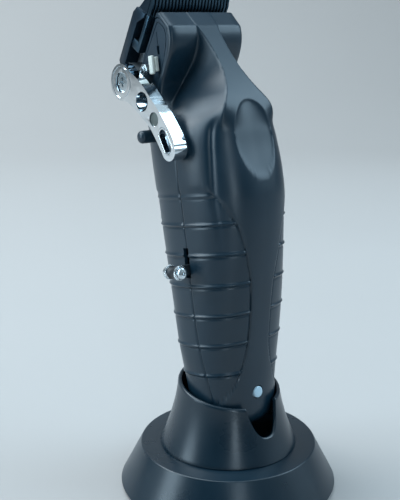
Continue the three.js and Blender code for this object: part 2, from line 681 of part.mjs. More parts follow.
function toothGaps(count, low, high, tip) {
  const gaps = [];
  for (let i = 0; i < count - 1; i++) {
    const x = (i - (count - 2) / 2) * TOOTH_PITCH;
    gaps.push(box([x - TOOTH_GAP / 2, low, TOOTH_ROOT], [x + TOOTH_GAP / 2, high, tip + 2]));
  }
  return gaps;
}

function fixedBlade() {
  const inside = BLADE_FACE - BLADE_BODY;
  const edge = CUTTER_FACE + GAP;
  const plate = slab(
    [
      [inside, BLADE_HEEL],
      [BLADE_FACE - 1, BLADE_HEEL],
      [BLADE_FACE, BLADE_HEEL + 1],
      [BLADE_FACE, BEVEL_START],
      [edge + 0.6, BLADE_TIP],
      [edge, BLADE_TIP],
      [edge, TOOTH_ROOT - 1.5],
      [inside, TOOTH_ROOT - 5.5],
    ],
    -BLADE_WIDTH / 2,
    BLADE_WIDTH / 2,
  );
  const holes = [-BLADE_SCREW_X, BLADE_SCREW_X].flatMap((x) => [
    bar([x, 5, BLADE_SCREW_S], [x, 15, BLADE_SCREW_S], 1.6, 14),
    bar([x, BLADE_FACE - 1.8, BLADE_SCREW_S], [x, 15, BLADE_SCREW_S], 3.2),
  ]);
  return cutBy(plate, ...toothGaps(FIXED_TEETH, 4, 15, BLADE_TIP), ...holes);
}

const CUTTER = { low: -1, railTop: 3, inner: CUTTER_FACE - CUTTER_THICK, teeth: 24, tip: 24.8 };

function cutterBlade() {
  const railFace = BLADE_FACE - BLADE_BODY - GAP;
  const plate = slab(
    [
      [CUTTER.inner, CUTTER.low],
      [railFace, CUTTER.low],
      [railFace, CUTTER.railTop],
      [CUTTER_FACE, CUTTER.railTop],
      [CUTTER_FACE, CUTTER.tip],
      [CUTTER_FACE - 0.7, CUTTER.tip],
      [CUTTER.inner, CUTTER.tip - 5],
    ],
    -CUTTER_WIDTH / 2,
    CUTTER_WIDTH / 2,
  );
  return cutBy(plate, ...toothGaps(CUTTER.teeth, 3, CUTTER_FACE + 0.2, CUTTER.tip));
}

const FORK = { inner: BEARING_RADIUS + 2 * CRANK + 0.15, wall: 1.2, blockHalf: 7 };

function cutterFork() {
  const face = CUTTER.inner - GAP;
  const block = slab([[0.4, 1.5], [face, 1.5], [face, 6.6], [0.4, 6.6]], -FORK.blockHalf, FORK.blockHalf);
  const arm = [[face, 1.5], [face, 6.6], [0.4, 6.6], [-7, 3.2], [-19.8, -3], [-20.8, -9.4], [-16, -9.6], [-6, -3.6], [0.5, 1.5]];
  const outer = FORK.inner + FORK.wall;
  return joined(block, slab(arm, -outer, -FORK.inner), slab(arm, FORK.inner, outer));
}

function tensionSpring() {
  const face = CUTTER.inner - GAP;
  const leaf = [[0.3, 12.6], [0.9, 12.6], [1, 9.2], [face, 4.8], [face, 3.6], [face - 0.7, 3.6], [0.3, 8.9]];
  const legs = [-11.6, 8.6].map((x) => slab(leaf, x, x + 3));
  return joined(box([-11.6, 0.3, 10.4], [11.6, 0.9, 12.6]), ...legs);
}

function bladeCarrier() {
  const block = box([-CARRIER.half, CARRIER.inner, CARRIER.low], [CARRIER.half, CARRIER.outer, CARRIER.high]);
  const { s } = pivotOnBlade;
  const reach = box([EAR.outer, CARRIER.inner, s], [-CARRIER.half + 1, CARRIER.outer - 3, s + 4]);
  const ear = box([EAR.outer, EAR.lowN, s - EAR.below], [EAR.inner, CARRIER.inner + 2, s + 4]);
  const side = PIN_RADIUS + 0.25;
  const slot = box([EAR.outer - 1, EAR.lowN - 1, s - side], [EAR.inner + 1, pinN + PIN_RADIUS + 0.5, s + side]);
  const bores = [-BLADE_SCREW_X, BLADE_SCREW_X].map((x) =>
    bar([x, 3, BLADE_SCREW_S], [x, 12, BLADE_SCREW_S], 1.4, 14),
  );
  return cutBy(joined(block, reach, ear), slot, ...bores);
}

function crossHead(along, radius, high, depth) {
  const arm = radius * 0.62;
  const cut = 0.28 * radius;
  const low = high - depth * along;
  const [a, b] = [Math.min(low, high + along), Math.max(low, high + along)];
  return [
    [arm, cut],
    [cut, arm],
  ].map(([u, v]) => ({ u, v, a, b }));
}

function addBlades() {
  add(blades, "fixed_blade", fixedBlade(), BLACK_STEEL);
  add(blades, "cutter_blade", cutterBlade(), STEEL);
  add(blades, "cutter_fork", cutterFork(), NYLON);
  add(blades, "tension_spring", tensionSpring(), STEEL);
  add(blades, "blade_carrier", bladeCarrier(), ZINC);
  for (const [side, x] of [["left", -BLADE_SCREW_X], ["right", BLADE_SCREW_X]]) {
    const top = BLADE_FACE - 0.2;
    const screw = joined(
      bar([x, top - 1.3, BLADE_SCREW_S], [x, top, BLADE_SCREW_S], 2.8),
      bar([x, 4, BLADE_SCREW_S], [x, top - 1.2, BLADE_SCREW_S], SCREW_SHANK, 12),
    );
    const cross = crossHead(1, 2.8, top, 0.7).map(({ u, v, a, b }) =>
      box([x - u, a, BLADE_SCREW_S - v], [x + u, b, BLADE_SCREW_S + v]),
    );
    add(blades, `blade_screw_${side}`, cutBy(screw, ...cross), STEEL);
  }
}

// ---------------------------------------------------------------- taper lever
const LEVER_PATH = [
  [23.2, 143.4, 6.8],
  [17, 140, 6.1],
  [12.7, 136.6, 5.7],
  [8.6, 132.3, 5.2],
  [3.5, 126.9, 4.7],
  [-0.8, 120.4, 4.8],
  [-3, 116.4, 4.8],
  [-3.7, 114.1, 4.4],
];
const LEVER_DISC = 7.6; // radius round the pivot
const ARM_START = 2; // the arm is thicker from this point of the path on
const ARM_EXTRA = 1.8;
const LEVER_HEAD = 3.9; // the pivot screw's head
const LEVER_HOLE = { y: 10.3, z: 134.3, radius: 3.9 };
const LEVER_DIMPLE = { y: 3.6, z: 126.7, radius: 2.9, depth: 1.2 };
const LEVER_SLOT = [[-1, 120.4, 2.1], [-3.5, 114.6, 2.1]];
const LEVER_OUTER = LEVER_INNER + LEVER_THICK;
const NUT = { y: 16.6, z: 147.4, radius: 2.4 };
const TAB = { y: 11, z: 148.6, half: 1.5, length: 5 };

// The outline of a strip with round ends: [y, z, half width] along its middle.
function strip(path, steps) {
  const curve = new THREE.CatmullRomCurve3(path.map(([y, z, r]) => new THREE.Vector3(y, z, r)), false, "centripetal");
  const samples = curve.getPoints(steps);
  const left = [];
  const right = [];
  samples.forEach((p, i) => {
    const ahead = samples[Math.min(i + 1, steps)];
    const behind = samples[Math.max(i - 1, 0)];
    const along = new THREE.Vector2(ahead.x - behind.x, ahead.y - behind.y).normalize();
    left.push([p.x - along.y * p.z, p.y + along.x * p.z]);
    right.unshift([p.x + along.y * p.z, p.y - along.x * p.z]);
  });
  return [...left, ...right];
}

function stripBody(path, steps, fromX, toX, ends = 20) {
  const round = ([y, z, r]) => bar([fromX, y, z], [toX, y, z], r, ends);
  return joined(slab(strip(path, steps), fromX, toX), round(path[0]), round(path[path.length - 1]));
}

function taperLever() {
  const [y, z] = LEVER_PIVOT;
  const body = joined(
    stripBody(LEVER_PATH, 16, -LEVER_OUTER, -LEVER_INNER, 32),
    stripBody(LEVER_PATH.slice(ARM_START), 12, -LEVER_INNER - 1, -LEVER_INNER + ARM_EXTRA, 32),
    bar([-LEVER_OUTER, y, z], [-LEVER_INNER, y, z], LEVER_DISC, 40),
  );
  const through = [-LEVER_OUTER - 1, -LEVER_INNER + ARM_EXTRA + 1];
  const along = (spot, radius, [from, to], sides) => bar([from, spot.y, spot.z], [to, spot.y, spot.z], radius, sides);
  return cutBy(
    body,
    along({ y, z }, SCREW_BORE, through, 12),
    along({ y, z }, LEVER_HEAD + GAP, [-LEVER_OUTER - 1, -LEVER_OUTER + 1.6], 24),
    along(LEVER_HOLE, LEVER_HOLE.radius, through, 18),
    along(LEVER_DIMPLE, LEVER_DIMPLE.radius, [-LEVER_OUTER - 1, -LEVER_OUTER + LEVER_DIMPLE.depth], 16),
    stripBody(LEVER_SLOT, 2, ...through, 14),
  );
}

function addLever() {
  const [y, z] = LEVER_PIVOT;
  add(clipper, "taper_lever", taperLever(), CHROME);
  const head = -LEVER_OUTER + 1.3;
  const screw = joined(
    bar([head - 1.4, y, z], [head, y, z], LEVER_HEAD, 24),
    bar([head - 0.2, y, z], [-CHANNEL - 1.5, y, z], SCREW_SHANK, 12),
  );
  const cross = crossHead(-1, LEVER_HEAD, head - 1.4, 0.7).map(({ u, v, a, b }) =>
    box([a, y - u, z - v], [b, y + u, z + v]),
  );
  add(clipper, "lever_screw", cutBy(screw, ...cross), STEEL);
  const camInner = -22.3;
  const camOuter = -LEVER_INNER + GAP;
  const tilt = degrees(BLADE_TILT);
  const pin = [y + PIN_THROW * Math.cos(tilt), z + PIN_THROW * Math.sin(tilt)];
  const cam = joined(
    bar([camOuter, y, z], [camInner, y, z], 4.6, 24),
    bar([camInner - 0.2, ...pin], [EAR.inner + 0.1, ...pin], PIN_RADIUS, 10),
  );
  add(clipper, "lever_cam", cutBy(cam, bar([camOuter - 1, y, z], [camInner + 1, y, z], SCREW_BORE, 12)), STEEL);
  const bushing = cutBy(
    bar([camInner + GAP, y, z], [-HEAD_HALF, y, z], 1.85, 16),
    bar([camInner - 1, y, z], [-HEAD_HALF + 1, y, z], SCREW_BORE, 12),
  );
  add(clipper, "lever_bushing", bushing, BRASS);
  const peg = joined(
    bar([STOP_PEG.inner, STOP_PEG.y, STOP_PEG.z], [STOP_PEG.outer + 1.4, STOP_PEG.y, STOP_PEG.z], STOP_PEG.radius),
    bar([STOP_PEG.outer + 1.4, STOP_PEG.y, STOP_PEG.z], [STOP_PEG.outer, STOP_PEG.y, STOP_PEG.z], STOP_PEG.radius, 16, 1.4),
  );
  add(clipper, "lever_stop", peg, DARK_ABS);
  const nut = joined(
    bar([-HEAD_HALF, NUT.y, NUT.z], [-HEAD_HALF - 3, NUT.y, NUT.z], NUT.radius, 6),
    bar([-HEAD_HALF - 2.9, NUT.y, NUT.z], [-HEAD_HALF - 3.8, NUT.y, NUT.z], 1.6, 12),
    bar([-HEAD_HALF - 1, NUT.y, NUT.z], [-CHANNEL - 1.5, NUT.y, NUT.z], 1.1, 10),
  );
  add(clipper, "spring_nut", nut, STEEL);
  const ends = [-0.5, 0.5].map((share) => [TAB.y, TAB.z + share * TAB.length, TAB.half]);
  add(clipper, "spring_guide", stripBody(ends, 2, -HEAD_HALF - 3.2, -HEAD_HALF, 16), NYLON);
}

// ---------------------------------------------------------------- motor
function addMotor() {
  const at = (z, y = MOTOR_Y) => [0, y, z];
  const can = joined(
    bar(at(MOTOR_BOTTOM), at(MOTOR_TOP), MOTOR_RADIUS, 28),
    bar(at(MOTOR_TOP - 0.2), at(MOTOR_TOP + 1.2), 3.4, 18),
  );
  add(clipper, "motor_can", cutBy(can, bar(at(MOTOR_TOP - 6), at(MOTOR_TOP + 2), SHAFT_RADIUS + RUN, 14)), ZINC);
  const cap = joined(
    bar(at(MOTOR_BOTTOM - 3), at(MOTOR_BOTTOM - GAP), MOTOR_RADIUS - 0.6, 28),
    box([-5, MOTOR_Y - 0.5, MOTOR_BOTTOM - 6], [-4, MOTOR_Y + 2, MOTOR_BOTTOM - 2.8]),
    box([4, MOTOR_Y - 0.5, MOTOR_BOTTOM - 6], [5, MOTOR_Y + 2, MOTOR_BOTTOM - 2.8]),
  );
  add(clipper, "motor_end_cap", cap, DARK_ABS);
  add(clipper, "motor_shaft", bar(at(MOTOR_TOP - 5), at(131.2), SHAFT_RADIUS, 12), STEEL);
  const pinY = MOTOR_Y - CRANK;
  const cam = joined(
    bar(at(129), at(132.4), 4.4, 20),
    bar(at(132.2, pinY), at(141.2, pinY), CRANK_PIN, 12),
  );
  add(clipper, "eccentric_cam", cutBy(cam, bar(at(128), at(131.6), SHAFT_RADIUS + 0.15, 12)), BRASS);
  const race = cutBy(
    bar(at(133.2, pinY), at(140.8, pinY), BEARING_RADIUS, 16),
    bar(at(133, pinY), at(141, pinY), CRANK_PIN + 0.15, 12),
  );
  add(clipper, "cam_bearing", race, STEEL);
  const plate = joined(
    box([-11, MOTOR_Y - 12, 125.6], [11, MOTOR_Y + 13, 128.2]),
    ...[-1, 1].map((side) => box([side > 0 ? 9 : -11, MOTOR_Y - 16.5, 118], [side > 0 ? 11 : -9, MOTOR_Y - 11.5, 126])),
  );
  add(clipper, "motor_mount", cutBy(plate, bar(at(120), at(130), 4.2, 20)), DARK_ABS);
}

// ---------------------------------------------------------------- power
function addPower() {
  const low = 6;
  const high = low + CELL_LENGTH;
  const at = (z) => [0, CELL_Y, z];
  const cell = joined(
    bar(at(low), at(high - 1), CELL_RADIUS, 28),
    bar(at(high - 1.2), at(high), 3, 16),
  );
  add(clipper, "battery_cell", cell, CELL_WRAP);
  const ring = turned(
    [[CELL_RADIUS + 0.4, low + 4], [CELL_RADIUS + 1.8, low + 4], [CELL_RADIUS + 1.8, high - 4], [CELL_RADIUS + 0.4, high - 4]],
    32,
  ).translate([0, CELL_Y, 0]);
  const cradle = ring.intersect(box([-FAR, CELL_Y, 0], [FAR, FAR, 100]));
  add(clipper, "battery_cradle", cradle, DARK_ABS);
  const face = BOARD.y + BOARD_THICK;
  const board = joined(
    box([-BOARD.half, BOARD.y, BOARD.low], [BOARD.half, face, BOARD.high]),
    box([-4, face - 0.2, 74.5], [3, face + 1.4, 79]),
    box([-3, BOARD.y - 1.6, 40], [5, BOARD.y + 0.2, 48]),
    box([-8, BOARD.y - 2.2, 54], [-3, BOARD.y + 0.2, 60]),
  );
  const bores = BOARD_SCREWS.map(([x, z]) => bar([x, BOARD.y - 5, z], [x, 0, z], BOARD_SHANK + 0.2, 10));
  add(clipper, "main_circuit_board", cutBy(board, ...bores), GREEN_BOARD);
  BOARD_SCREWS.forEach(([x, z], i) => {
    const screw = joined(
      bar([x, face + GAP, z], [x, face + 1.4, z], 1.8, 12),
      bar([x, BOARD.y - 3.4, z], [x, face + GAP + 0.2, z], BOARD_SHANK, 10),
    );
    add(clipper, `board_screw_${i + 1}`, screw, STEEL);
  });
  const lens = bar([0, -9.4, LED.z], [0, -6.4, LED.z], LED.radius, 20);
  add(clipper, "led_lens", lens, LENS_WHITE);
  for (const [side, x] of [["left", -CONTACT_X], ["right", CONTACT_X]])
    add(clipper, `charge_contact_${side}`, bar([x, CONTACT_Y, CONTACT_FACE], [x, CONTACT_Y, -2.4], 1.7, 14), BRASS);
  const { half, front, back } = SOCKET_TAIL;
  const port = cutBy(
    box([-half, front, -5.2], [half, back, 2]),
    box([-half + 0.6, front + 0.6, -6], [half - 0.6, back - 0.6, -0.6]),
  );
  add(clipper, "charge_socket", port, STEEL);
}

// ---------------------------------------------------------------- power slide
function addSwitch() {
  const { x, y, z, radius, collar } = KNOB;
  const wall = -19.9; // inside face of the housing at the slide
  const boss = 1.5;
  const core = joined(
    bar([x, y - 2, z], [x, y + 2, z], radius, 20),
    box([x, y - 1.1, z - 2.2], [wall, y + 1.1, z + 2.2]),
    box([wall - 0.1, y - 3.6, z - 5], [wall + 1, y + 3.6, z + 5]),
  );
  const holes = [-1, 1].map((side) => bar([x, y + side * 0.6, z], [x, y + side * 4, z], 1.2, 12));
  add(clipper, "switch_slider", cutBy(core, ...holes), DARK_ABS);
  for (const [name, side] of [["front", -1], ["rear", 1]]) {
    const ring = cutBy(
      bar([x, y + side * 2.3, z], [x, y + side * 4.1, z], collar, 24),
      bar([x, y + side * 2, z], [x, y + side * 5, z], 1.2, 12),
    );
    add(clipper, `switch_collar_${name}`, ring, CHROME);
    const screw = cutBy(
      joined(
        bar([x, y + side * 4.4, z], [x, y + side * 5.8, z], 2.2, 20),
        bar([x, y + side * 1, z], [x, y + side * 4.5, z], 0.95, 12),
      ),
      bar([x, y + side * 5, z], [x, y + side * 6, z], 1, 6),
    );
    add(clipper, `switch_screw_${name}`, screw, CHROME);
  }
  add(clipper, "switch_module", box([wall + 1 + RUN, y - 4, z - 6], [wall + 6, y + 4, z + 8]).subtract(
    box([wall, y - boss, z - 4], [wall + 3, y + boss, z + 7]),
  ), DARK_ABS);
}

function addShells() {
  const { front, back } = shells();
  add(clipper, "front_shell", front, BLACK_ABS);
  add(clipper, "back_shell", back, BLACK_ABS);
  add(clipper, "head_frame", headFrame(), BLACK_STEEL);
  for (const [name, x, z] of HOUSING_SCREWS) {
    const skin = backSkin(x, z);
    const screw = joined(
      bar([x, skin - 3.6, z], [x, skin - 1.8, z], HOUSING_HEAD, 14),
      bar([x, -2.4, z], [x, skin - 3.5, z], HOUSING_SHANK, 10),
    );
    add(clipper, `housing_screw_${name}`, screw, STEEL);
  }
}

addStand();
addDock();
addShells();
addBlades();
addLever();
addMotor();
addPower();
addSwitch();

export default root;
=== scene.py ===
"""The looks of a cordless hair clipper that leans in the cup of its round charging stand.

Sizes in the classes are millimetres. The handle has a frame of its own (Z along the handle, -Y the thumb side) and
so has the blade set (Z along the blade towards its teeth, Y square to it); both are found from the joints.
"""

import json
import logging
import math
from dataclasses import dataclass, field
from enum import Enum
from typing import Iterable, Sequence

import bmesh
import bpy
import numpy as np
from mathutils import Matrix, Vector

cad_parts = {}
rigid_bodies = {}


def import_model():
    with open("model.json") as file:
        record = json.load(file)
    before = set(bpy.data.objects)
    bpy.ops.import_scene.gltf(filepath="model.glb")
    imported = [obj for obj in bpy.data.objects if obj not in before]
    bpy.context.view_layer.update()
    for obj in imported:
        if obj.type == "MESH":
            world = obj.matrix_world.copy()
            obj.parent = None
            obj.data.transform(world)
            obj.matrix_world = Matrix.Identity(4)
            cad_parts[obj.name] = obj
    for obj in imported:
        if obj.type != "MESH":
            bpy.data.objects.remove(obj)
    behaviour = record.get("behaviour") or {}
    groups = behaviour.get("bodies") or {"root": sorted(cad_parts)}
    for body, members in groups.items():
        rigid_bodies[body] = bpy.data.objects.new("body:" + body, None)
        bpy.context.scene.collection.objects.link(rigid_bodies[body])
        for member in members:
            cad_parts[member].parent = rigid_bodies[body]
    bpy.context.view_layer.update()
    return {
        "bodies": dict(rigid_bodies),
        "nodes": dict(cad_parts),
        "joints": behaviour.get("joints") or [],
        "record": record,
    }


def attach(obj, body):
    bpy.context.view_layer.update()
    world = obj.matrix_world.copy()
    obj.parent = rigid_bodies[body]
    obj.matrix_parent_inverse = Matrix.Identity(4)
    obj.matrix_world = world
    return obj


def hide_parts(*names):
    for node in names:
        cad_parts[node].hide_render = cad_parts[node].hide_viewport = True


MM = 0.001
log = logging.getLogger("clipper")

Knots = Sequence[tuple[float, float]]
Point = tuple[float, float, float]
Box = tuple[Point, Point]

# Places in the handle's frame that more than one piece shares, as [y, z] or a height.
PIVOT = (23.2, 143.4)
PEG = (12.2, 120.3)
LENS_HEIGHT = 9.1
# The point that most lamps face, in metres.
AIM = (0.0, 0.0, 0.1)


# ---------------------------------------------------------------- small helpers
def linear(code: str) -> tuple[float, float, float, float]:
    """Turns an sRGB hex colour into linear RGBA.

    Args:
        code: The colour, such as "#1f2a33".

    Returns:
        Red, green, blue and an alpha of 1, all linear.
    """
    parts = [int(code[i : i + 2], 16) / 255 for i in (1, 3, 5)]
    return (*[p / 12.92 if p <= 0.04045 else ((p + 0.055) / 1.055) ** 2.4 for p in parts], 1.0)


def through(knots: Knots, place: np.ndarray | float) -> np.ndarray:
    """Smooth value through [place, value] knots.

    Args:
        knots: The knots in rising order of place.
        place: Where the value is wanted.

    Returns:
        The value at each place, held at the end knots' values outside them.
    """
    at = np.array([k[0] for k in knots], float)
    value = np.array([k[1] for k in knots], float)
    low, high = np.maximum(np.arange(len(at)) - 1, 0), np.minimum(np.arange(len(at)) + 1, len(at) - 1)
    slope = (value[high] - value[low]) / (at[high] - at[low])
    place = np.asarray(place, float)
    i = np.clip(np.searchsorted(at, place, side="right") - 1, 0, len(at) - 2)
    span = at[i + 1] - at[i]
    t = np.clip((place - at[i]) / span, 0, 1)
    bend = (t**3 - 2 * t**2 + t) * slope[i] + (t**3 - t**2) * slope[i + 1]
    return (2 * t**3 - 3 * t**2 + 1) * value[i] + (3 * t**2 - 2 * t**3) * value[i + 1] + span * bend


def step(x: np.ndarray | float, low: float, high: float) -> np.ndarray:
    """A smooth step from 0 at low to 1 at high."""
    t = np.clip((np.asarray(x, float) - low) / (high - low), 0, 1)
    return t * t * (3 - 2 * t)


def bump(x: np.ndarray, width: float) -> np.ndarray:
    """A round bump of height 1 about 0."""
    return np.exp(-((x / width) ** 2))


@dataclass(frozen=True)
class Place:
    """A turned frame in the object's frame, its origin in millimetres."""

    origin: np.ndarray
    axes: np.ndarray

    def out(self, points: Iterable[Point] | np.ndarray) -> np.ndarray:
        """Points of this frame as points of the object's frame, both in millimetres."""
        return self.origin + np.atleast_2d(np.asarray(points, float)) @ self.axes.T

    def carry(self, piece: bpy.types.Object) -> bpy.types.Object:
        """Moves a piece's mesh from the object's frame into this one.

        Args:
            piece: The piece, made about the origin.

        Returns:
            The same piece, its object still at the origin.
        """
        turn = Matrix(self.axes.tolist()).to_4x4()
        piece.data.transform(Matrix.Translation(Vector(self.origin * MM)) @ turn)
        return piece


ROW = Place(np.zeros(3), np.eye(3))


def new_object(name: str, data: bpy.types.ID) -> bpy.types.Object:
    """Links a mesh, lamp or camera into the scene at the origin.

    Args:
        name: The object's name.
        data: What the object shows.

    Returns:
        The object.
    """
    made = bpy.data.objects.new(name, data)
    bpy.context.scene.collection.objects.link(made)
    return made


def mesh_object(name: str, points: np.ndarray, faces: Sequence[Sequence[int]], place: Place = ROW) -> bpy.types.Object:
    """Makes a mesh object from points and faces.

    Args:
        name: The object's name.
        points: Vertices in millimetres, in the given frame.
        faces: Vertex numbers of each face.
        place: The frame the points are in.

    Returns:
        The object, with its faces pointing outwards.
    """
    mesh = bpy.data.meshes.new(name)
    mesh.from_pydata((place.out(points) * MM).tolist(), [], [list(f) for f in faces])
    work = bmesh.new()
    work.from_mesh(mesh)
    bmesh.ops.remove_doubles(work, verts=work.verts, dist=1e-7)
    bmesh.ops.recalc_face_normals(work, faces=work.faces)
    work.to_mesh(mesh)
    work.free()
    return new_object(name, mesh)


def ring_faces(rows: int, columns: int, looped: bool = False) -> list[list[int]]:
    """Faces of a closed tube of rings.

    Args:
        rows: How many rings.
        columns: Points in each ring.
        looped: True where the last ring joins the first, False where one face closes each end.

    Returns:
        The vertex numbers of each face.
    """
    faces = []
    for row in range(rows if looped else rows - 1):
        here, above = row * columns, (row + 1) % rows * columns
        faces += [[here + c, here + (c + 1) % columns, above + (c + 1) % columns, above + c] for c in range(columns)]
    if not looped:
        faces.append(list(range(columns))[::-1])
        faces.append([(rows - 1) * columns + c for c in range(columns)])
    return faces


def lathe(name: str, profile: Sequence[tuple[float, float]], segments: int, place: Place = ROW) -> bpy.types.Object:
    """Turns a closed outline about Z.

    Args:
        name: The object's name.
        profile: [radius, height] pairs round the outline.
        segments: Steps round the axis.
        place: The frame whose Z is the axis.

    Returns:
        The turned object.
    """
    turn = np.linspace(0, 2 * math.pi, segments, endpoint=False)
    rows = [np.stack([r * np.cos(turn), r * np.sin(turn), np.full(segments, z)], 1) for r, z in profile]
    # a stretch that lies on the axis has no faces
    open_stretch = [r > 0 or profile[(k + 1) % len(profile)][0] > 0 for k, (r, _) in enumerate(profile)]
    faces = [f for k, f in enumerate(ring_faces(len(rows), segments, True)) if open_stretch[k // segments]]
    return mesh_object(name, np.concatenate(rows), faces, place)


def prism(name: str, outline: Sequence[tuple[float, float]], low: float, high: float, place: Place) -> bpy.types.Object:
    """Draws a flat outline out along X.

    Args:
        name: The object's name.
        outline: [y, z] pairs round the outline.
        low: Where it starts along X.
        high: Where it ends.
        place: The frame of the outline.

    Returns:
        The closed solid.
    """
    points = [(x, y, z) for x in (low, high) for y, z in outline]
    return mesh_object(name, np.array(points), ring_faces(2, len(outline)), place)


def block(name: str, low: Point, high: Point, place: Place) -> bpy.types.Object:
    """A box between two corners."""
    outline = [(low[1], low[2]), (high[1], low[2]), (high[1], high[2]), (low[1], high[2])]
    return prism(name, outline, low[0], high[0], place)


def along(start: Point, end: Point, place: Place) -> tuple[Place, float]:
    """Finds the frame whose Z runs from one point to another.

    Args:
        start: Where the frame's origin is.
        end: The point its Z runs to.
        place: The frame both points are in.

    Returns:
        The frame, and the distance between the points.
    """
    a, b = place.out([start])[0], place.out([end])[0]
    axis = Vector(b - a)
    turn = np.array(axis.to_track_quat("Z", "Y").to_matrix())
    return Place(a, turn), axis.length


def rod(name: str, start: Point, end: Point, radius: float, place: Place, sides: int = 48) -> bpy.types.Object:
    """Makes a round bar between two points.

    Args:
        name: The object's name.
        start: The middle of one end.
        end: The middle of the other.
        radius: The bar's radius.
        place: The frame the points are in.
        sides: Faces round the bar.

    Returns:
        The bar.
    """
    frame, length = along(start, end, place)
    return lathe(name, [(0, 0), (radius, 0), (radius, length), (0, length)], sides, frame)


def settled(made: bpy.types.Object) -> bpy.types.Object:
    """Bakes an object's modifiers into its mesh and removes them.

    Args:
        made: The object.

    Returns:
        The same object with its final mesh.
    """
    bpy.context.view_layer.update()
    graph = bpy.context.evaluated_depsgraph_get()
    shown = made.evaluated_get(graph)
    baked = bpy.data.meshes.new_from_object(shown, preserve_all_data_layers=True, depsgraph=graph)
    made.modifiers.clear()
    made.data = baked
    return made


def gone(*objects: bpy.types.Object) -> None:
    """Removes objects that were only tools."""
    for thing in objects:
        bpy.data.objects.remove(thing, do_unlink=True)


class Cut(Enum):
    """How one solid changes another."""

    AWAY = "DIFFERENCE"
    SHARED = "INTERSECT"
    JOINED = "UNION"


def carved(target: bpy.types.Object, how: Cut, *tools: bpy.types.Object) -> bpy.types.Object:
    """Changes a solid with others, which are used up.

    Args:
        target: The solid that is changed.
        how: Cut away, keep what is shared, or join.
        tools: The solids it is changed with, one after another.

    Returns:
        The same object with its new mesh.
    """
    for tool in tools:
        change = target.modifiers.new("cut", "BOOLEAN")
        change.operation = how.value
        change.solver = "MANIFOLD"
        change.object = tool
    settled(target)
    gone(*tools)
    return target


def joined(first: bpy.types.Object, *others: bpy.types.Object) -> bpy.types.Object:
    """Puts several meshes into one, as they are.

    Args:
        first: The object that keeps its name.
        others: The objects whose meshes it takes in, which are used up.

    Returns:
        The first object.
    """
    work = bmesh.new()
    for thing in (first, *others):
        work.from_mesh(thing.data)
    work.to_mesh(first.data)
    work.free()
    gone(*others)
    return first


def rounded(made: bpy.types.Object, width: float, rings: int = 2, angle: float = 32) -> bpy.types.Object:
    """Rounds an object's sharp edges.

    Args:
        made: The object.
        width: The bevel's width in millimetres.
        rings: Segments across the bevel.
        angle: Edges sharper than this are rounded, in degrees.

    Returns:
        The same object, with the bevel baked in.
    """
    edge = made.modifiers.new("edges", "BEVEL")
    edge.width = width * MM
    edge.segments = rings
    edge.limit_method = "ANGLE"
    edge.angle_limit = math.radians(angle)
    edge.use_clamp_overlap = True
    edge.miter_outer = "MITER_ARC"
    return settled(made)


def smooth(made: bpy.types.Object, angle: float = 38) -> bpy.types.Object:
    """Shades a mesh smooth.

    Args:
        made: The object.
        angle: Edges sharper than this stay sharp, in degrees.

    Returns:
        The same object.
    """
    made.data.shade_smooth()
    made.data.set_sharp_from_angle(angle=math.radians(angle))
    return made


# ---------------------------------------------------------------- finishes
def add_node(tree: bpy.types.NodeTree, kind: str, inputs: dict | None = None,
             **settings: object) -> bpy.types.Node:
    """Adds a node with its settings and links.

    Args:
        tree: The node tree.
        kind: The node's type.
        inputs: Value or source socket for each input, by name or number.
        settings: The node's own properties.

    Returns:
        The node.
    """
    node = tree.nodes.new(kind)
    for key, value in settings.items():
        setattr(node, key, value)
    for key, value in (inputs or {}).items():
        if isinstance(value, bpy.types.NodeSocket):
            tree.links.new(value, node.inputs[key])
        else:
            node.inputs[key].default_value = value
    return node


class Relief(Enum):
    """How a surface's fine relief was made."""

    SPARKED = "spark eroded mould grain"
    BRUSHED = "drawn or ground lines"
    POLISHED = "buffed, with a faint waviness"
    CAST = "coarse cast skin"
    WOUND = "wrinkled film"


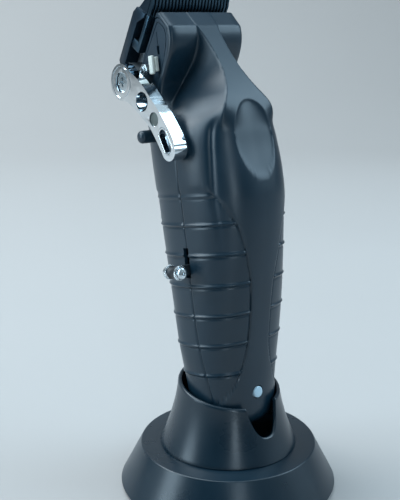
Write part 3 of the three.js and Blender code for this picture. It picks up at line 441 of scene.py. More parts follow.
@dataclass(frozen=True)
class Finish:
    """One real finish: its colours, its gloss, the relief that its making leaves and, where set, a painted glow. Sizes
    are millimetres.
    """

    name: str
    tone: str
    second_tone: str
    relief: Relief
    rough: float
    rough_spread: float = 0.08
    metal: float = 0.0
    ior: float = 1.5
    grain: float = 0.25
    depth: float = 0.01
    blotch: float = 14.0
    coat: float = 0.0
    coat_rough: float = 0.1
    painted_glow: float = 0.0

    def build(self) -> bpy.types.Material:
        """Makes the material.

        Returns:
            A node material that reads object coordinates, in metres.
        """
        made = bpy.data.materials.new(self.name)
        made.use_nodes = True
        tree = made.node_tree
        tree.nodes.clear()
        place = add_node(tree, "ShaderNodeTexCoord").outputs["Object"]
        cloud = add_node(tree, "ShaderNodeTexNoise",
                         {"Vector": place, "Scale": 1 / (self.blotch * MM), "Detail": 4.0, "Roughness": 0.6})
        height, fine = self._height(tree, place)
        share = add_node(tree, "ShaderNodeMapRange",
                         {"Value": cloud.outputs["Fac"], "From Min": 0.3, "From Max": 0.7}).outputs["Result"]
        mixed = add_node(tree, "ShaderNodeMath", {0: share, 1: fine}, operation="MULTIPLY").outputs[0]
        colour = self._tones(tree, mixed)
        low, high = max(self.rough - self.rough_spread, 0.02), self.rough + self.rough_spread
        gloss = add_node(tree, "ShaderNodeMapRange", {"Value": share, "To Min": low, "To Max": high}).outputs["Result"]
        relief = add_node(tree, "ShaderNodeBump", {
            "Height": height, "Strength": 1.0, "Distance": self.depth * MM}).outputs["Normal"]
        surface = add_node(tree, "ShaderNodeBsdfPrincipled", {
            "Base Color": colour, "Roughness": gloss, "Metallic": self.metal, "IOR": self.ior, "Normal": relief,
            "Coat Weight": self.coat, "Coat Roughness": self.coat_rough})
        # painted glow: the surface emits its own tone, though nothing behind it is lit
        if self.painted_glow:
            surface.inputs["Emission Color"].default_value = linear(self.tone)
            surface.inputs["Emission Strength"].default_value = self.painted_glow
        add_node(tree, "ShaderNodeOutputMaterial", {"Surface": surface.outputs["BSDF"]})
        return made

    def _tones(self, tree: bpy.types.NodeTree, share: bpy.types.NodeSocket) -> bpy.types.NodeSocket:
        """Mixes the two tones.

        Args:
            tree: The material's nodes.
            share: The socket that says how much of the second tone shows.

        Returns:
            The colour's socket.
        """
        ramp = add_node(tree, "ShaderNodeValToRGB", {"Fac": share})
        ramp.color_ramp.elements[0].color = linear(self.tone)
        ramp.color_ramp.elements[1].color = linear(self.second_tone)
        return ramp.outputs["Color"]

    def _height(self, tree: bpy.types.NodeTree, place: bpy.types.NodeSocket) -> tuple[bpy.types.NodeSocket, ...]:
        """Adds the pattern of the relief.

        Args:
            tree: The material's nodes.
            place: The socket of the place on the piece.

        Returns:
            The relief's height, and a fine share between 0 and 1 that the colours follow.
        """
        scale = 1 / (self.grain * MM)
        if self.relief is Relief.BRUSHED:
            # lines along X: the pattern is drawn out forty times that way
            drawn = add_node(tree, "ShaderNodeMapping", {"Vector": place, "Scale": (0.025, 1.0, 1.0)})
            lines = add_node(tree, "ShaderNodeTexNoise", {
                "Vector": drawn.outputs["Vector"], "Scale": scale, "Detail": 6.0, "Roughness": 0.7})
            return lines.outputs["Fac"], lines.outputs["Fac"]
        if self.relief is Relief.SPARKED:
            cells = add_node(tree, "ShaderNodeTexVoronoi", {"Vector": place, "Scale": scale}, feature="SMOOTH_F1")
            grit = add_node(tree, "ShaderNodeTexNoise", {"Vector": place, "Scale": scale * 1.7, "Detail": 3.0})
            both = add_node(tree, "ShaderNodeMath", {0: cells.outputs["Distance"], 1: grit.outputs["Fac"]},
                            operation="MULTIPLY").outputs[0]
            return both, grit.outputs["Fac"]
        if self.relief is Relief.POLISHED:
            wave = add_node(tree, "ShaderNodeTexNoise", {"Vector": place, "Scale": scale, "Detail": 1.0})
            hair = add_node(tree, "ShaderNodeMapping", {"Vector": place, "Scale": (1.0, 0.04, 1.0)}).outputs["Vector"]
            lines = add_node(tree, "ShaderNodeTexNoise", {"Vector": hair, "Scale": scale * 9, "Detail": 2.0})
            both = add_node(tree, "ShaderNodeMath", {0: lines.outputs["Fac"], 1: 0.04, 2: wave.outputs["Fac"]},
                            operation="MULTIPLY_ADD").outputs[0]
            return both, lines.outputs["Fac"]
        if self.relief is Relief.CAST:
            lumps = add_node(tree, "ShaderNodeTexNoise",
                             {"Vector": place, "Scale": scale, "Detail": 5.0, "Distortion": 0.4})
            return lumps.outputs["Fac"], lumps.outputs["Fac"]
        folds = add_node(tree, "ShaderNodeTexWave", {"Vector": place, "Scale": scale * 0.2, "Distortion": 6.0})
        return folds.outputs["Fac"], folds.outputs["Fac"]


@dataclass(frozen=True)
class BoardFinish(Finish):
    """Glass-fibre circuit board: green solder mask over copper tracks, which show as paler lines."""

    track: float = 1.6

    def _height(self, tree: bpy.types.NodeTree, place: bpy.types.NodeSocket) -> tuple[bpy.types.NodeSocket, ...]:
        """Adds the tracks, which stand a little proud and take the second tone.

        Args:
            tree: The material's nodes.
            place: The socket of the place on the piece.

        Returns:
            The tracks as a height and as a share.
        """
        tracks = add_node(tree, "ShaderNodeTexBrick", {
            "Vector": place, "Scale": 1 / (self.track * MM), "Color1": (0, 0, 0, 1), "Color2": (0, 0, 0, 1),
            "Mortar": (1, 1, 1, 1), "Mortar Size": 0.09}, offset=0.37)
        return tracks.outputs["Fac"], tracks.outputs["Fac"]


# Moulded ABS, spark-eroded mould: a deep blue-black that stays satin and lifts to slate where it is seen edge-on.
ABS_BODY = Finish("moulded_abs_blue_black", "#0c2431", "#122d3c", Relief.SPARKED, 0.34, 0.05, grain=0.3, depth=0.006,
                  blotch=22)
# The same plastic on the stand, a shade darker and a little glossier from its polished mould.
ABS_STAND = Finish("moulded_abs_stand", "#0c1f2a", "#122834", Relief.SPARKED, 0.3, 0.05, grain=0.35, depth=0.005,
                   blotch=30)
# Inner mouldings: plain dark ABS, duller.
ABS_DARK = Finish("moulded_abs_inner", "#0b151c", "#121f29", Relief.SPARKED, 0.5, 0.06, grain=0.4, depth=0.012)
# Zinc head casting under baked satin enamel.
ENAMEL = Finish("satin_enamel_on_zinc", "#122836", "#1a3342", Relief.CAST, 0.38, 0.06, grain=0.9, depth=0.01)
# Carbon steel under black oxide, ground flat: grinding lines show as fine streaks.
BLACK_STEEL = Finish("black_oxide_ground_steel", "#1a2b38", "#2b4150", Relief.BRUSHED, 0.34, 0.08, metal=0.75, ior=1.5,
                     grain=0.12, depth=0.008)
# Ground steel of the cutter, with a blue-grey cast from its thin oxide.
CUTTER_STEEL = Finish("ground_cutter_steel", "#2b3f4d", "#48606f", Relief.BRUSHED, 0.3, 0.08, metal=0.9, grain=0.12,
                      depth=0.008)
# Die-cast zinc, bright chromium plate, buffed: it mirrors the room with a faint waviness.
CHROME = Finish("polished_chrome_plate", "#dfe6ea", "#cfd8de", Relief.POLISHED, 0.07, 0.03, metal=1.0, grain=3.0,
                depth=0.02)
# Nickel-plated steel of screws, turned: satin, with fine turning marks.
NICKEL = Finish("nickel_plated_steel", "#aeb8bd", "#c5cccf", Relief.BRUSHED, 0.26, 0.08, metal=1.0, grain=0.15,
                depth=0.006)
# Natural polyamide: milky, slightly warm.
NYLON = Finish("natural_polyamide", "#cfd3cb", "#e2e3da", Relief.CAST, 0.4, 0.06, grain=0.6, depth=0.01, coat=0.15)
# Foot pad: matt cast rubber.
RUBBER = Finish("cast_rubber", "#14181b", "#1d2225", Relief.CAST, 0.82, 0.08, grain=0.5, depth=0.04)
# Contacts, bushing and eccentric: plated brass.
BRASS = Finish("turned_brass", "#b8955a", "#caa96c", Relief.BRUSHED, 0.28, 0.08, metal=1.0, grain=0.14, depth=0.006)
# Motor can: drawn steel.
DRAWN_STEEL = Finish("drawn_steel", "#8b9398", "#a4abb0", Relief.BRUSHED, 0.33, 0.08, metal=1.0, grain=0.18,
                     depth=0.008)
# Ballast ring and blade carrier: cast zinc and aluminium, left as cast.
CAST_METAL = Finish("as_cast_zinc", "#767d82", "#8d9499", Relief.CAST, 0.52, 0.08, metal=0.95, grain=1.1, depth=0.05)
# Heat-shrink film on the cell.
FILM = Finish("shrink_film", "#285f8b", "#357099", Relief.WOUND, 0.3, 0.06, grain=0.8, depth=0.02, coat=0.3)
# Indicator lens: opal polycarbonate, glossy, with a faint painted glow (emission in its own tone, though no lamp lights
# it) that keeps it paler than the housing.
LENS = Finish("opal_polycarbonate", "#9fbccb", "#b4cddb", Relief.POLISHED, 0.22, 0.05, grain=1.5, depth=0.01, coat=0.5,
              painted_glow=0.05)
# Grey insert in the lever's dimple: sintered metal with an open, dull surface.
SINTERED = Finish("sintered_insert", "#5d6563", "#737b78", Relief.CAST, 0.5, 0.06, metal=0.6, grain=0.5, depth=0.02)
# Circuit boards: green solder mask, half gloss, over copper tracks that show paler.
BOARD = BoardFinish("glass_fibre_board", "#164a31", "#2c6b46", Relief.CAST, 0.42, 0.05, grain=1.2, depth=0.03)
# Studio paper: matt and seamless, with hardly any tone of its own.
PAPER = Finish("studio_paper", "#aaa5a2", "#ada8a5", Relief.CAST, 0.8, 0.05, grain=0.9, depth=0.01, blotch=300)

SLOT_FINISH = {
    "stand_plastic": ABS_STAND, "stand_underside": ABS_DARK, "foot_rubber": RUBBER, "screw_steel": NICKEL,
    "cast_weight": CAST_METAL, "circuit_board": BOARD, "socket_steel": NICKEL, "contact_brass": BRASS,
    "spring_steel": DRAWN_STEEL, "housing_plastic": ABS_BODY, "head_casting": ENAMEL, "blade_steel": BLACK_STEEL,
    "nylon": NYLON, "carrier_metal": CAST_METAL, "lever_chrome": CHROME, "cam_steel": NICKEL, "knob_chrome": CHROME,
    "slider_plastic": ABS_DARK, "motor_steel": DRAWN_STEEL, "cell_wrap": FILM, "lens_plastic": LENS,
}


class Wardrobe:
    """Makes each material once and puts it on pieces."""

    def __init__(self) -> None:
        """Starts with nothing made."""
        self.made: dict[str, bpy.types.Material] = {}

    def get(self, finish: Finish) -> bpy.types.Material:
        """Finds or makes the material of a finish.

        Args:
            finish: The finish.

        Returns:
            Its only material.
        """
        if finish.name not in self.made:
            self.made[finish.name] = finish.build()
        return self.made[finish.name]

    def dress(self, piece: bpy.types.Object, finish: Finish) -> None:
        """Gives a piece one finish all over."""
        piece.data.materials.clear()
        piece.data.materials.append(self.get(finish))


# ---------------------------------------------------------------- geometry node repeats
class Repeat(Enum):
    """The path that a repeated shape follows."""

    LINE = "line"
    RING = "ring"


def repeat_tree(path: Repeat) -> bpy.types.NodeTree:
    """Builds the tree that repeats a mesh along a line or round Z.

    Args:
        path: The path.

    Returns:
        The tree, with inputs Geometry, Count, Step (metres between copies on a line) and Material.
    """
    tree = bpy.data.node_groups.new(f"repeat_on_{path.value}", "GeometryNodeTree")
    sockets = tree.interface
    sockets.new_socket("Geometry", in_out="INPUT", socket_type="NodeSocketGeometry")
    sockets.new_socket("Count", in_out="INPUT", socket_type="NodeSocketInt")
    sockets.new_socket("Step", in_out="INPUT", socket_type="NodeSocketVector")
    sockets.new_socket("Material", in_out="INPUT", socket_type="NodeSocketMaterial")
    sockets.new_socket("Geometry", in_out="OUTPUT", socket_type="NodeSocketGeometry")
    given = add_node(tree, "NodeGroupInput")
    if path is Repeat.LINE:
        points = add_node(tree, "GeometryNodeMeshLine",
                          {"Count": given.outputs["Count"], "Offset": given.outputs["Step"]})
        spots = add_node(tree, "GeometryNodeInstanceOnPoints",
                         {"Points": points.outputs["Mesh"], "Instance": given.outputs["Geometry"]})
    else:
        points = add_node(tree, "GeometryNodeMeshLine", {"Count": given.outputs["Count"], "Offset": (0.0, 0.0, 0.0)})
        index = add_node(tree, "GeometryNodeInputIndex").outputs["Index"]
        share = add_node(tree, "ShaderNodeMath", {0: index, 1: given.outputs["Count"]}, operation="DIVIDE").outputs[0]
        angle = add_node(tree, "ShaderNodeMath", {0: share, 1: 2 * math.pi}, operation="MULTIPLY").outputs[0]
        turn = add_node(tree, "FunctionNodeAxisAngleToRotation", {"Axis": (0.0, 0.0, 1.0), "Angle": angle}).outputs[0]
        spots = add_node(tree, "GeometryNodeInstanceOnPoints", {
            "Points": points.outputs["Mesh"], "Instance": given.outputs["Geometry"], "Rotation": turn})
    real = add_node(tree, "GeometryNodeRealizeInstances", {"Geometry": spots.outputs["Instances"]})
    dressed = add_node(tree, "GeometryNodeSetMaterial",
                       {"Geometry": real.outputs["Geometry"], "Material": given.outputs["Material"]})
    add_node(tree, "NodeGroupOutput", {"Geometry": dressed.outputs["Geometry"]})
    return tree


class Repeater:
    """Repeats a mesh with geometry nodes and bakes the result."""

    def __init__(self) -> None:
        """Builds both trees."""
        self.trees = {path: repeat_tree(path) for path in Repeat}

    def run(self, piece: bpy.types.Object, path: Repeat, count: int, material: bpy.types.Material,
            stride: Point = (0.0, 0.0, 0.0)) -> bpy.types.Object:
        """Repeats a piece's own mesh.

        Args:
            piece: The piece that holds one copy.
            path: A line from the piece's place, or a ring about Z.
            count: How many copies.
            material: The copies' material.
            stride: Millimetres from one copy to the next on a line.

        Returns:
            The same piece, with every copy in its mesh.
        """
        tree = self.trees[path]
        change = piece.modifiers.new("repeat", "NODES")
        change.node_group = tree
        values = {"Count": count, "Step": [s * MM for s in stride], "Material": material}
        for item in tree.interface.items_tree:
            if item.in_out == "INPUT" and item.name in values:
                change[item.identifier] = values[item.name]
        return settled(piece)


# ---------------------------------------------------------------- the object's pieces
@dataclass
class Workshop:
    """What every sub-assembly needs: the frames, the finishes and the repeats."""

    handle: Place
    blade: Place
    wardrobe: Wardrobe = field(default_factory=Wardrobe)
    repeater: Repeater = field(default_factory=Repeater)

    def hand_over(self, piece: bpy.types.Object, finish: Finish, body: str, slot: str, *nodes: str,
                  angle: float = 38) -> bpy.types.Object:
        """Dresses a piece and ties it to the frame.

        Args:
            piece: The finished piece.
            finish: Its finish.
            body: The body it rides on.
            slot: The record's material slot; not used.
            nodes: The frame's nodes it stands for.
            angle: Edges sharper than this stay sharp.

        Returns:
            The piece.
        """
        smooth(piece, angle)
        self.wardrobe.dress(piece, finish)
        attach(piece, body)
        if nodes:
            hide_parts(*nodes)
        log.info("%s: %d faces on %s", piece.name, len(piece.data.polygons), body)
        return piece


@dataclass
class BodyForm:
    """The skin of the clipper's housing: a round handle whose neck runs up as a flat spine between two scoops."""

    tail: float = -6.0
    top: float = 168.6
    round_over: float = 7.0
    middle: Knots = ((-6, 8.2), (12, 7.2), (25, 6.4), (50, 4.2), (75, 3.2), (100, 3), (118, 6), (135, 12.5),
                     (170, 12.5))
    half: Knots = ((-6, 17.8), (4, 18.8), (12, 19.7), (30, 22.2), (50, 23), (75, 23), (100, 23.4), (112, 23),
                   (120, 22), (127, 19.4), (133, 15), (139, 10.2), (146, 7), (155, 5.8), (163, 5.3), (170, 5.3))
    front: Knots = ((-6, -6.8), (0, -7.6), (12, -9.5), (25, -11.6), (50, -17.5), (75, -23), (92, -25.4), (102, -25.2),
                    (112, -24), (120, -22.8), (128, -20.8), (136, -17.2), (146, -11.2), (156, -4.6), (161, -1.2),
                    (163, -0.1), (165, 0.4), (168.6, 0.8))
    chamfer: tuple[float, float, float] = (162.9, 0.45, 0.85)
    back: Knots = ((-6, 23), (0, 23.9), (25, 24.2), (50, 25.9), (75, 28.4), (100, 29.6), (120, 31), (135, 33.4),
                   (150, 37), (170, 42))
    wing: Knots = ((-6, 12), (90, 15), (108, 19.5), (118, 21.4), (128, 21), (140, 19.8), (150, 19.4), (170, 19.4))
    wing_front: Knots = ((-6, 4), (100, 2), (112, 0), (124, 3.5), (133, 8.6), (140, 8.8), (146, 5.6), (151, 2.2),
                         (155, 0.3), (159, -0.4), (163, 0.1), (165, 0.4), (168.6, 0.8))
    square: Knots = ((-6, 2.2), (50, 2.35), (110, 2.4), (130, 2.8), (150, 4.5), (170, 4.5))
    wing_square: Knots = ((-6, 4), (122, 4), (140, 12), (150, 16), (170, 16))
    back_square: float = 2.5
    ridge: Knots = ((110, 15.5), (120, 15.5), (124, 14.8), (128, 12.8), (132, 10.4), (136, 7.9), (140, 6.1), (145, 4.7),
                    (150, 4.3), (155, 4.4), (160, 5.0), (163, 5.5), (170, 6))
    ridge_soft: float = 0.7
    crease_soft: float = 1.2
    dish: tuple[float, float, float, float] = (115.5, 9.8, 15.5, 2.0)
    ribs: tuple[float, ...] = (19.6, 32.6, 45.4, 58.1, 70.9, 83.4, 94.8)
    rib_height: float = 0.55
    rib_width: float = 0.55
    last_rib: float = 0.45
    rib_heel: tuple[float, float, float] = (1.1, 0.4, 0.25)
    panel_sink: float = 0.5
    panel_foot: tuple[float, float] = (-3.0, 2.0)
    panel_top: tuple[float, float] = (96.5, 98.5)
    line_top: tuple[float, float] = (94.0, 98.0)
    line_depth: float = 0.38
    line_width: float = 0.42
    border: Knots = ((-6, 24), (2, 19.5), (5.2, 17.2), (15.6, 10.3), (27.2, 6.4), (40.3, 5.5), (56.7, 6.1), (67.4, 8.1),
                     (79.4, 11.2), (86, 14.2), (93, 17.8), (100, 22), (110, 26))
    fold: Knots = ((70, 17.4), (77, 17.8), (85.6, 18.5), (93.2, 19), (101, 18.8), (108.8, 18.2), (116.4, 17.3),
                   (121, 16.2), (126, 14.2))
    fold_depth: float = 0.65
    fold_width: float = 0.8
    fold_in: tuple[float, float] = (70.0, 100.0)
    fold_out: tuple[float, float] = (119.0, 127.0)
    seam: float = 0.5
    seam_depth: float = 0.3
    seam_width: float = 0.45
    seam_out: tuple[float, float] = (118.0, 124.0)
    neck: tuple[float, float] = (119.0, 131.0)
    screws: Sequence[tuple[str, float, float]] = (
        ("lower_left", -15.6, 30.0), ("lower_right", 15.6, 30.0),
        ("upper_left", -15.6, 86.0), ("upper_right", 15.6, 86.0))

    def behind(self, x: float, z: float) -> float:
        """Finds how far back the plain skin is.

        Args:
            x: The place across the handle.
            z: The height along it.

        Returns:
            The skin's Y.
        """
        middle, half, back = (float(through(knots, z)) for knots in (self.middle, self.half, self.back))
        return middle + (back - middle) * (1 - (abs(x) / half) ** self.back_square) ** (1 / self.back_square)

    def _round(self, cos: np.ndarray, sin: np.ndarray, half: np.ndarray, depth: np.ndarray,
               power: np.ndarray | float) -> np.ndarray:
        """Radius of a squared-off ellipse in one direction."""
        return ((np.abs(cos) / half) ** power + (np.abs(sin) / depth) ** power) ** (-1 / power)

    def radius(self, z: np.ndarray, angle: np.ndarray, inside: bool) -> np.ndarray:
        """Distance of the plain skin from its middle.

        Args:
            z: Heights along the handle, one column.
            angle: Angles about the middle, one row; 0 is +X and a quarter turn is the back.
            inside: True for the space inside, which runs up the neck without the hood's wings.

        Returns:
            One radius for each height and angle.
        """
        cos, sin = np.cos(angle), np.sin(angle)
        middle, half, wing = through(self.middle, z), through(self.half, z), through(self.wing, z)
        rear = through(self.back, z) - middle
        behind = np.maximum(self._round(cos, sin, half, rear, self.back_square),
                            self._round(cos, sin, wing, rear, self.back_square))
        cut_back = self.chamfer[1] + (z - self.chamfer[0]) * self.chamfer[2]
        depth = middle - np.maximum(through(self.front, z), cut_back)
        core = self._round(cos, sin, half, depth, through(self.square, z))
        # the spine: a flat top between two ridges, and side walls down to the scoops
        ridge, foot = through(self.ridge, z), through(self.wing_front, z)
        lean = (half - ridge) / np.maximum(foot - through(self.front, z), 1.0)
        down = np.minimum(sin, -1e-6)
        flat = depth / -down
        wall = (ridge + lean * depth) / np.maximum(np.abs(cos) - lean * down, 1e-6)
        near = np.maximum(self.ridge_soft - np.abs(flat - wall), 0)
        spine = np.minimum(flat, wall) - near**2 / (4 * self.ridge_soft)
        share = step(z, *self.neck)
        if inside:
            return np.where(sin > 0, behind, np.minimum(core, core * (1 - share) + spine * share))
        core = core * (1 - share) + spine * share
        reach = middle - np.maximum(through(self.wing_front, z), cut_back)
        side = self._round(cos, sin, wing, reach, through(self.wing_square, z))
        near = np.maximum(self.crease_soft - np.abs(core - side), 0)
        front = np.maximum(core, side) + near**2 / (4 * self.crease_soft)
        return np.where(sin > 0, behind, front)

    def dressed(self, z: np.ndarray, angle: np.ndarray) -> np.ndarray:
        """Distance of the outer skin from its middle, with its thumb dish, grip panels, ribs, side folds and seam.

        Args:
            z: Heights along the handle, one column.
            angle: Angles about the middle, one row.

        Returns:
            One radius for each height and angle.
        """
        plain = self.radius(z, angle, False)
        x = np.abs(plain * np.cos(angle))
        y = through(self.middle, z) + plain * np.sin(angle)
        ahead = 1 - step(y, -2, 2)
        at, wide, tall, deep = self.dish
        inside_dish = np.maximum(1 - (x / wide) ** 2 - ((z - at) / tall) ** 2, 0)
        sunk = ahead * deep * inside_dish**0.62
        from_border, foot = x - through(self.border, z), step(z, *self.panel_foot)
        panel = np.where(y < 3, step(from_border, 0, 0.3), 1.0) * (1 - step(z, *self.panel_top)) * foot
        line = bump(from_border - 0.25, self.line_width) * np.where(y < 3, 1.0, 0.0)
        sunk = sunk + panel * self.panel_sink + line * self.line_depth * (1 - step(z, *self.line_top)) * foot
        under, heel_width, heel_depth = self.rib_heel
        for rib in self.ribs:
            fade = self.last_rib if rib == self.ribs[-1] else 1.0
            raised = bump(z - rib, self.rib_width) * self.rib_height - bump(z - rib + under, heel_width) * heel_depth
            sunk = sunk - panel * raised * fade
        strength = step(z, *self.fold_in) * (1 - step(z, *self.fold_out))
        sunk = sunk + ahead * strength * self.fold_depth * bump(x - through(self.fold, z), self.fold_width)
        sunk = sunk + self.seam_depth * bump(y - self.seam, self.seam_width) * (1 - step(z, *self.seam_out))
        return plain - sunk

    def skin(self, name: str, wall: float, rows: np.ndarray, columns: int, place: Place) -> bpy.types.Object:
        """The housing's form as a closed solid.

        Args:
            name: The object's name.
            wall: How far in from the outer skin, 0 for the outer skin itself.
            rows: Heights of its rings.
            columns: Points in each ring.
            place: The handle's frame.

        Returns:
            The solid.
        """
        z = rows[:, None]
        angle = np.linspace(-math.pi / 2, 1.5 * math.pi, columns, endpoint=False)[None, :]
        reach = self.radius(z, angle, True) if wall else self.dressed(z, angle)
        short = np.maximum(0, 1 - (z - rows[0]) / self.round_over)
        thin = wall - step(z, 128, 136) * min(wall, 0.9)
        tuck = thin + self.round_over * (1 - np.sqrt(1 - short**2)) * 0.85
        reach = np.maximum(reach - tuck, 1.2)
        points = np.stack([reach * np.cos(angle), through(self.middle, z) + reach * np.sin(angle), z + 0 * reach], 2)
        return mesh_object(name, points.reshape(-1, 3), ring_faces(len(rows), columns), place)

    def rows(self, coarse: float) -> np.ndarray:
        """Spaces the rings: close at the tail, at the ribs and up the neck.

        Args:
            coarse: The spacing along the grip.

        Returns:
            The rings' heights.
        """
        tail = self.tail + self.round_over * np.array([0, 0.02, 0.06, 0.12, 0.2, 0.32, 0.45, 0.6, 0.8, 1])
        ribs = np.concatenate([r + np.arange(-2.2, 1.8, 0.3) for r in self.ribs])
        grip = np.arange(2, 114, coarse)
        neck = np.arange(114, self.top, coarse * 0.32)
        every = np.unique(np.round(np.concatenate([tail, ribs, grip, neck, [self.top]]), 3))
        return every[np.concatenate([[True], np.diff(every) > 0.12])]


@dataclass
class Housing:
    """The front and back shells with their openings."""

    shop: Workshop
    form: BodyForm = field(default_factory=BodyForm)
    wall: float = 2.2
    cheek: Sequence[tuple[float, float]] = ((8.9, 166.6), (6.9, 166.4), (3.6, 163.6), (2.2, 159.8), (2.5, 155.6),
                                            (4.0, 152.4), (9.4, 144.6), (15.5, 137.2), (28.3, 141.6))
    heel: float = -11.0
    heel_room: float = 2.8
    far: float = 80.0
    columns: int = 420
    # each opening's name, its two corners or ends, and a bore's radius, or 0 for a box
    openings: Sequence[tuple[str, Point, Point, float]] = (
        ("slide_slot", (-30.0, -0.5, 61.6), (-15.0, 2.5, 74.0), 0.0),
        ("lens_hole", (0.0, -16.0, LENS_HEIGHT), (0.0, -2.0, LENS_HEIGHT), 2.9),
        ("stop_hole", (-14.0, *PEG), (-31.5, *PEG), 2.8),
        ("port_hole", (-4.5, 12.9, -9.0), (4.5, 17.3, 1.0), 0.0),
        ("contact_hole_left", (-3.0, 8.0, -8.0), (-3.0, 8.0, 0.0), 2.0),
        ("contact_hole_right", (3.0, 8.0, -8.0), (3.0, 8.0, 0.0), 2.0),
    )
    screw_bore: float = 2.5
    gap: float = 0.12

    def opening(self) -> list[tuple[float, float]]:
        """Draws the opening that the head's side fills.

        Returns:
            Its smooth outline as [y, z] pairs.
        """
        *curve, corner = self.cheek
        at = np.linspace(0, len(curve) - 1, 64)
        y, z = (through([(k, p[i]) for k, p in enumerate(curve)], at) for i in (0, 1))
        return [*zip(y, z), corner]

    def grown(self, amount: float) -> list[tuple[float, float]]:
        """Draws the same opening, larger or smaller about its middle.

        Args:
            amount: How much further out each point is.

        Returns:
            The outline as [y, z] pairs.
        """
        outline = np.array(self.opening())
        middle = outline.mean(0)
        reach = np.linalg.norm(outline - middle, axis=1, keepdims=True)
        return [tuple(p) for p in middle + (outline - middle) * (reach + amount) / reach]

    def tools(self) -> list[bpy.types.Object]:
        """Makes the solids of the housing's openings.

        Returns:
            The solids, to be cut away.
        """
        handle, blade, far = self.shop.handle, self.shop.blade, self.far
        side = self.form.wing[-1][1] + 2
        made = [
            block("rear_plane", (-far, 0, self.heel - self.heel_room), (far, far, far), blade),
            block("ear_room", (-23.8, -1.4, -16.4), (-18.9, far, -8), blade),
            prism("cheek_hole", self.grown(0.4), -side, side, handle),
        ]
        made += [rod(name, a, b, radius, handle) if radius else block(name, a, b, handle)
                 for name, a, b, radius in self.openings]
        made += [rod(f"screw_hole_{name}", (x, self.form.behind(x, z) - 4, z), (x, 45, z), self.screw_bore, handle)
                 for name, x, z in self.form.screws]
        return made

    def ahead(self, margin: float) -> list[bpy.types.Object]:
        """Makes the space that belongs to the front shell.

        Args:
            margin: How far the space stops short of the parting line.

        Returns:
            Solids that overlap and fill the space.
        """
        handle, blade, far, split = self.shop.handle, self.shop.blade, self.far, self.heel - self.heel_room - 1.6
        return [
            block("front_half", (-far, -far, -far), (far, self.form.seam - margin, 200), handle),
            block("hood_space", (-far, -far, split + margin), (far, -1.5 - margin, far), blade),
            block("top_space", (-far, -far, self.heel), (far, far, far), blade),
        ]

    def build(self) -> None:
        """Makes both shells."""
        shop, form = self.shop, self.form
        whole = form.skin("housing", 0.0, form.rows(1.6), self.columns, shop.handle)
        inner_rows = np.linspace(form.tail + self.wall, form.top - self.wall, 60)
        carved(whole, Cut.AWAY, form.skin("inside", self.wall, inner_rows, 72, shop.handle), *self.tools())
        front = new_object("front_shell_moulding", whole.data.copy())
        first, *others = self.ahead(self.gap)
        carved(front, Cut.SHARED, carved(first, Cut.JOINED, *others))
        carved(whole, Cut.AWAY, *self.ahead(-self.gap))
        whole.name = "back_shell_moulding"
        shop.hand_over(front, ABS_BODY, "clipper", "housing_plastic", "front_shell", angle=34)
        shop.hand_over(whole, ABS_BODY, "clipper", "housing_plastic", "back_shell", angle=34)


@dataclass
class Head:
    """The cast head between the shells: two cheeks whose outer faces fill the housing's side openings."""

    shop: Workshop
    housing: Housing
    half: float = 19.1
    channel: float = 13.0
    top: float = 161.0
    line: tuple[float, float] = (1.5, 1.9)
    line_depth: float = 0.35
    # the fine line and the slot in each side: two corners as [y, z] and the depth
    marks: Sequence[tuple[tuple[float, float], tuple[float, float], float]] = (
        ((9.2, 151.5), (9.5, 161.5), 0.3), ((8.6, 152.6), (10.2, 156.0), 0.9))
    edge: float = 0.35
    nut: tuple[float, float] = (16.6, 147.4)
    tab: tuple[float, float] = (11.0, 148.6)
    # the nut's three turnings: near end, far end, radius, sides and rounded edge
    turnings: Sequence[tuple[float, float, float, int, float]] = (
        (19.4, 22.4, 2.5, 6, 0.25), (22.2, 23.2, 1.5, 32, 0.2), (18.4, 14.5, 1.1, 24, 0.0))
    # the guide's two leaves, from the tab's place: two corners and the rounded edge
    leaves: Sequence[tuple[Point, Point, float, int]] = (
        ((-22.6, -1.3, -3.6), (-21.2, 1.5, 3.8), 0.55, 4), ((-21.1, -1.6, -2.6), (-19.5, 0.9, 3.2), 0.4, 3))

    def build(self) -> None:
        """Makes the head, the spring nut and the guide tab."""
        shop, handle = self.shop, self.shop.handle
        head = prism("cast_head", self.housing.opening(), -self.half, self.half, handle)
        y, z = PIVOT
        carved(
            head, Cut.AWAY,
            block("channel", (-self.channel, -80, 100), (self.channel, 80, self.top), handle),
            rod("pivot_bore", (-30, y, z), (-12, y, z), 1.5, handle),
            rod("nut_bore", (-30, *self.nut), (-12, *self.nut), 1.3, handle),
        )
        rounded(head, self.edge, 3)
        outside, inside = (self.housing.grown(-inset) for inset in self.line)
        for side in (-1, 1):
            face = side * self.half
            low, high = sorted((face - side * self.line_depth, face + side * 0.5))
            groove = prism("line_outer", outside, low, high, handle)
            carved(groove, Cut.AWAY, prism("line_inner", inside, face - 1, face + 1, handle))
            marks = [block("mark", (face - deep, *low), (face + deep, *high), handle) for low, high, deep in self.marks]
            carved(head, Cut.AWAY, groove, *marks)
        shop.hand_over(head, ENAMEL, "clipper", "head_casting", "head_frame", angle=30)
        self._nut()
        self._tab()

    def _nut(self) -> None:
        """Makes the hexagonal nut, stud and shank that carry the blade spring's end."""
        parts = []
        for near, far, radius, sides, edge in self.turnings:
            part = rod("hex_nut", (-near, *self.nut), (-far, *self.nut), radius, self.shop.handle, sides)
            parts.append(rounded(part, edge) if edge else part)
        self.shop.hand_over(joined(*parts), NICKEL, "clipper", "screw_steel", "spring_nut")

    def _tab(self) -> None:
        """Makes the nylon guide: two leaves with round ends."""
        at, parts = np.array([0, *self.tab]), []
        for low, high, edge, rings in self.leaves:
            parts.append(rounded(block("guide_leaf", at + low, at + high, self.shop.handle), edge, rings))
        self.shop.hand_over(joined(*parts), NYLON, "clipper", "nylon", "spring_guide")


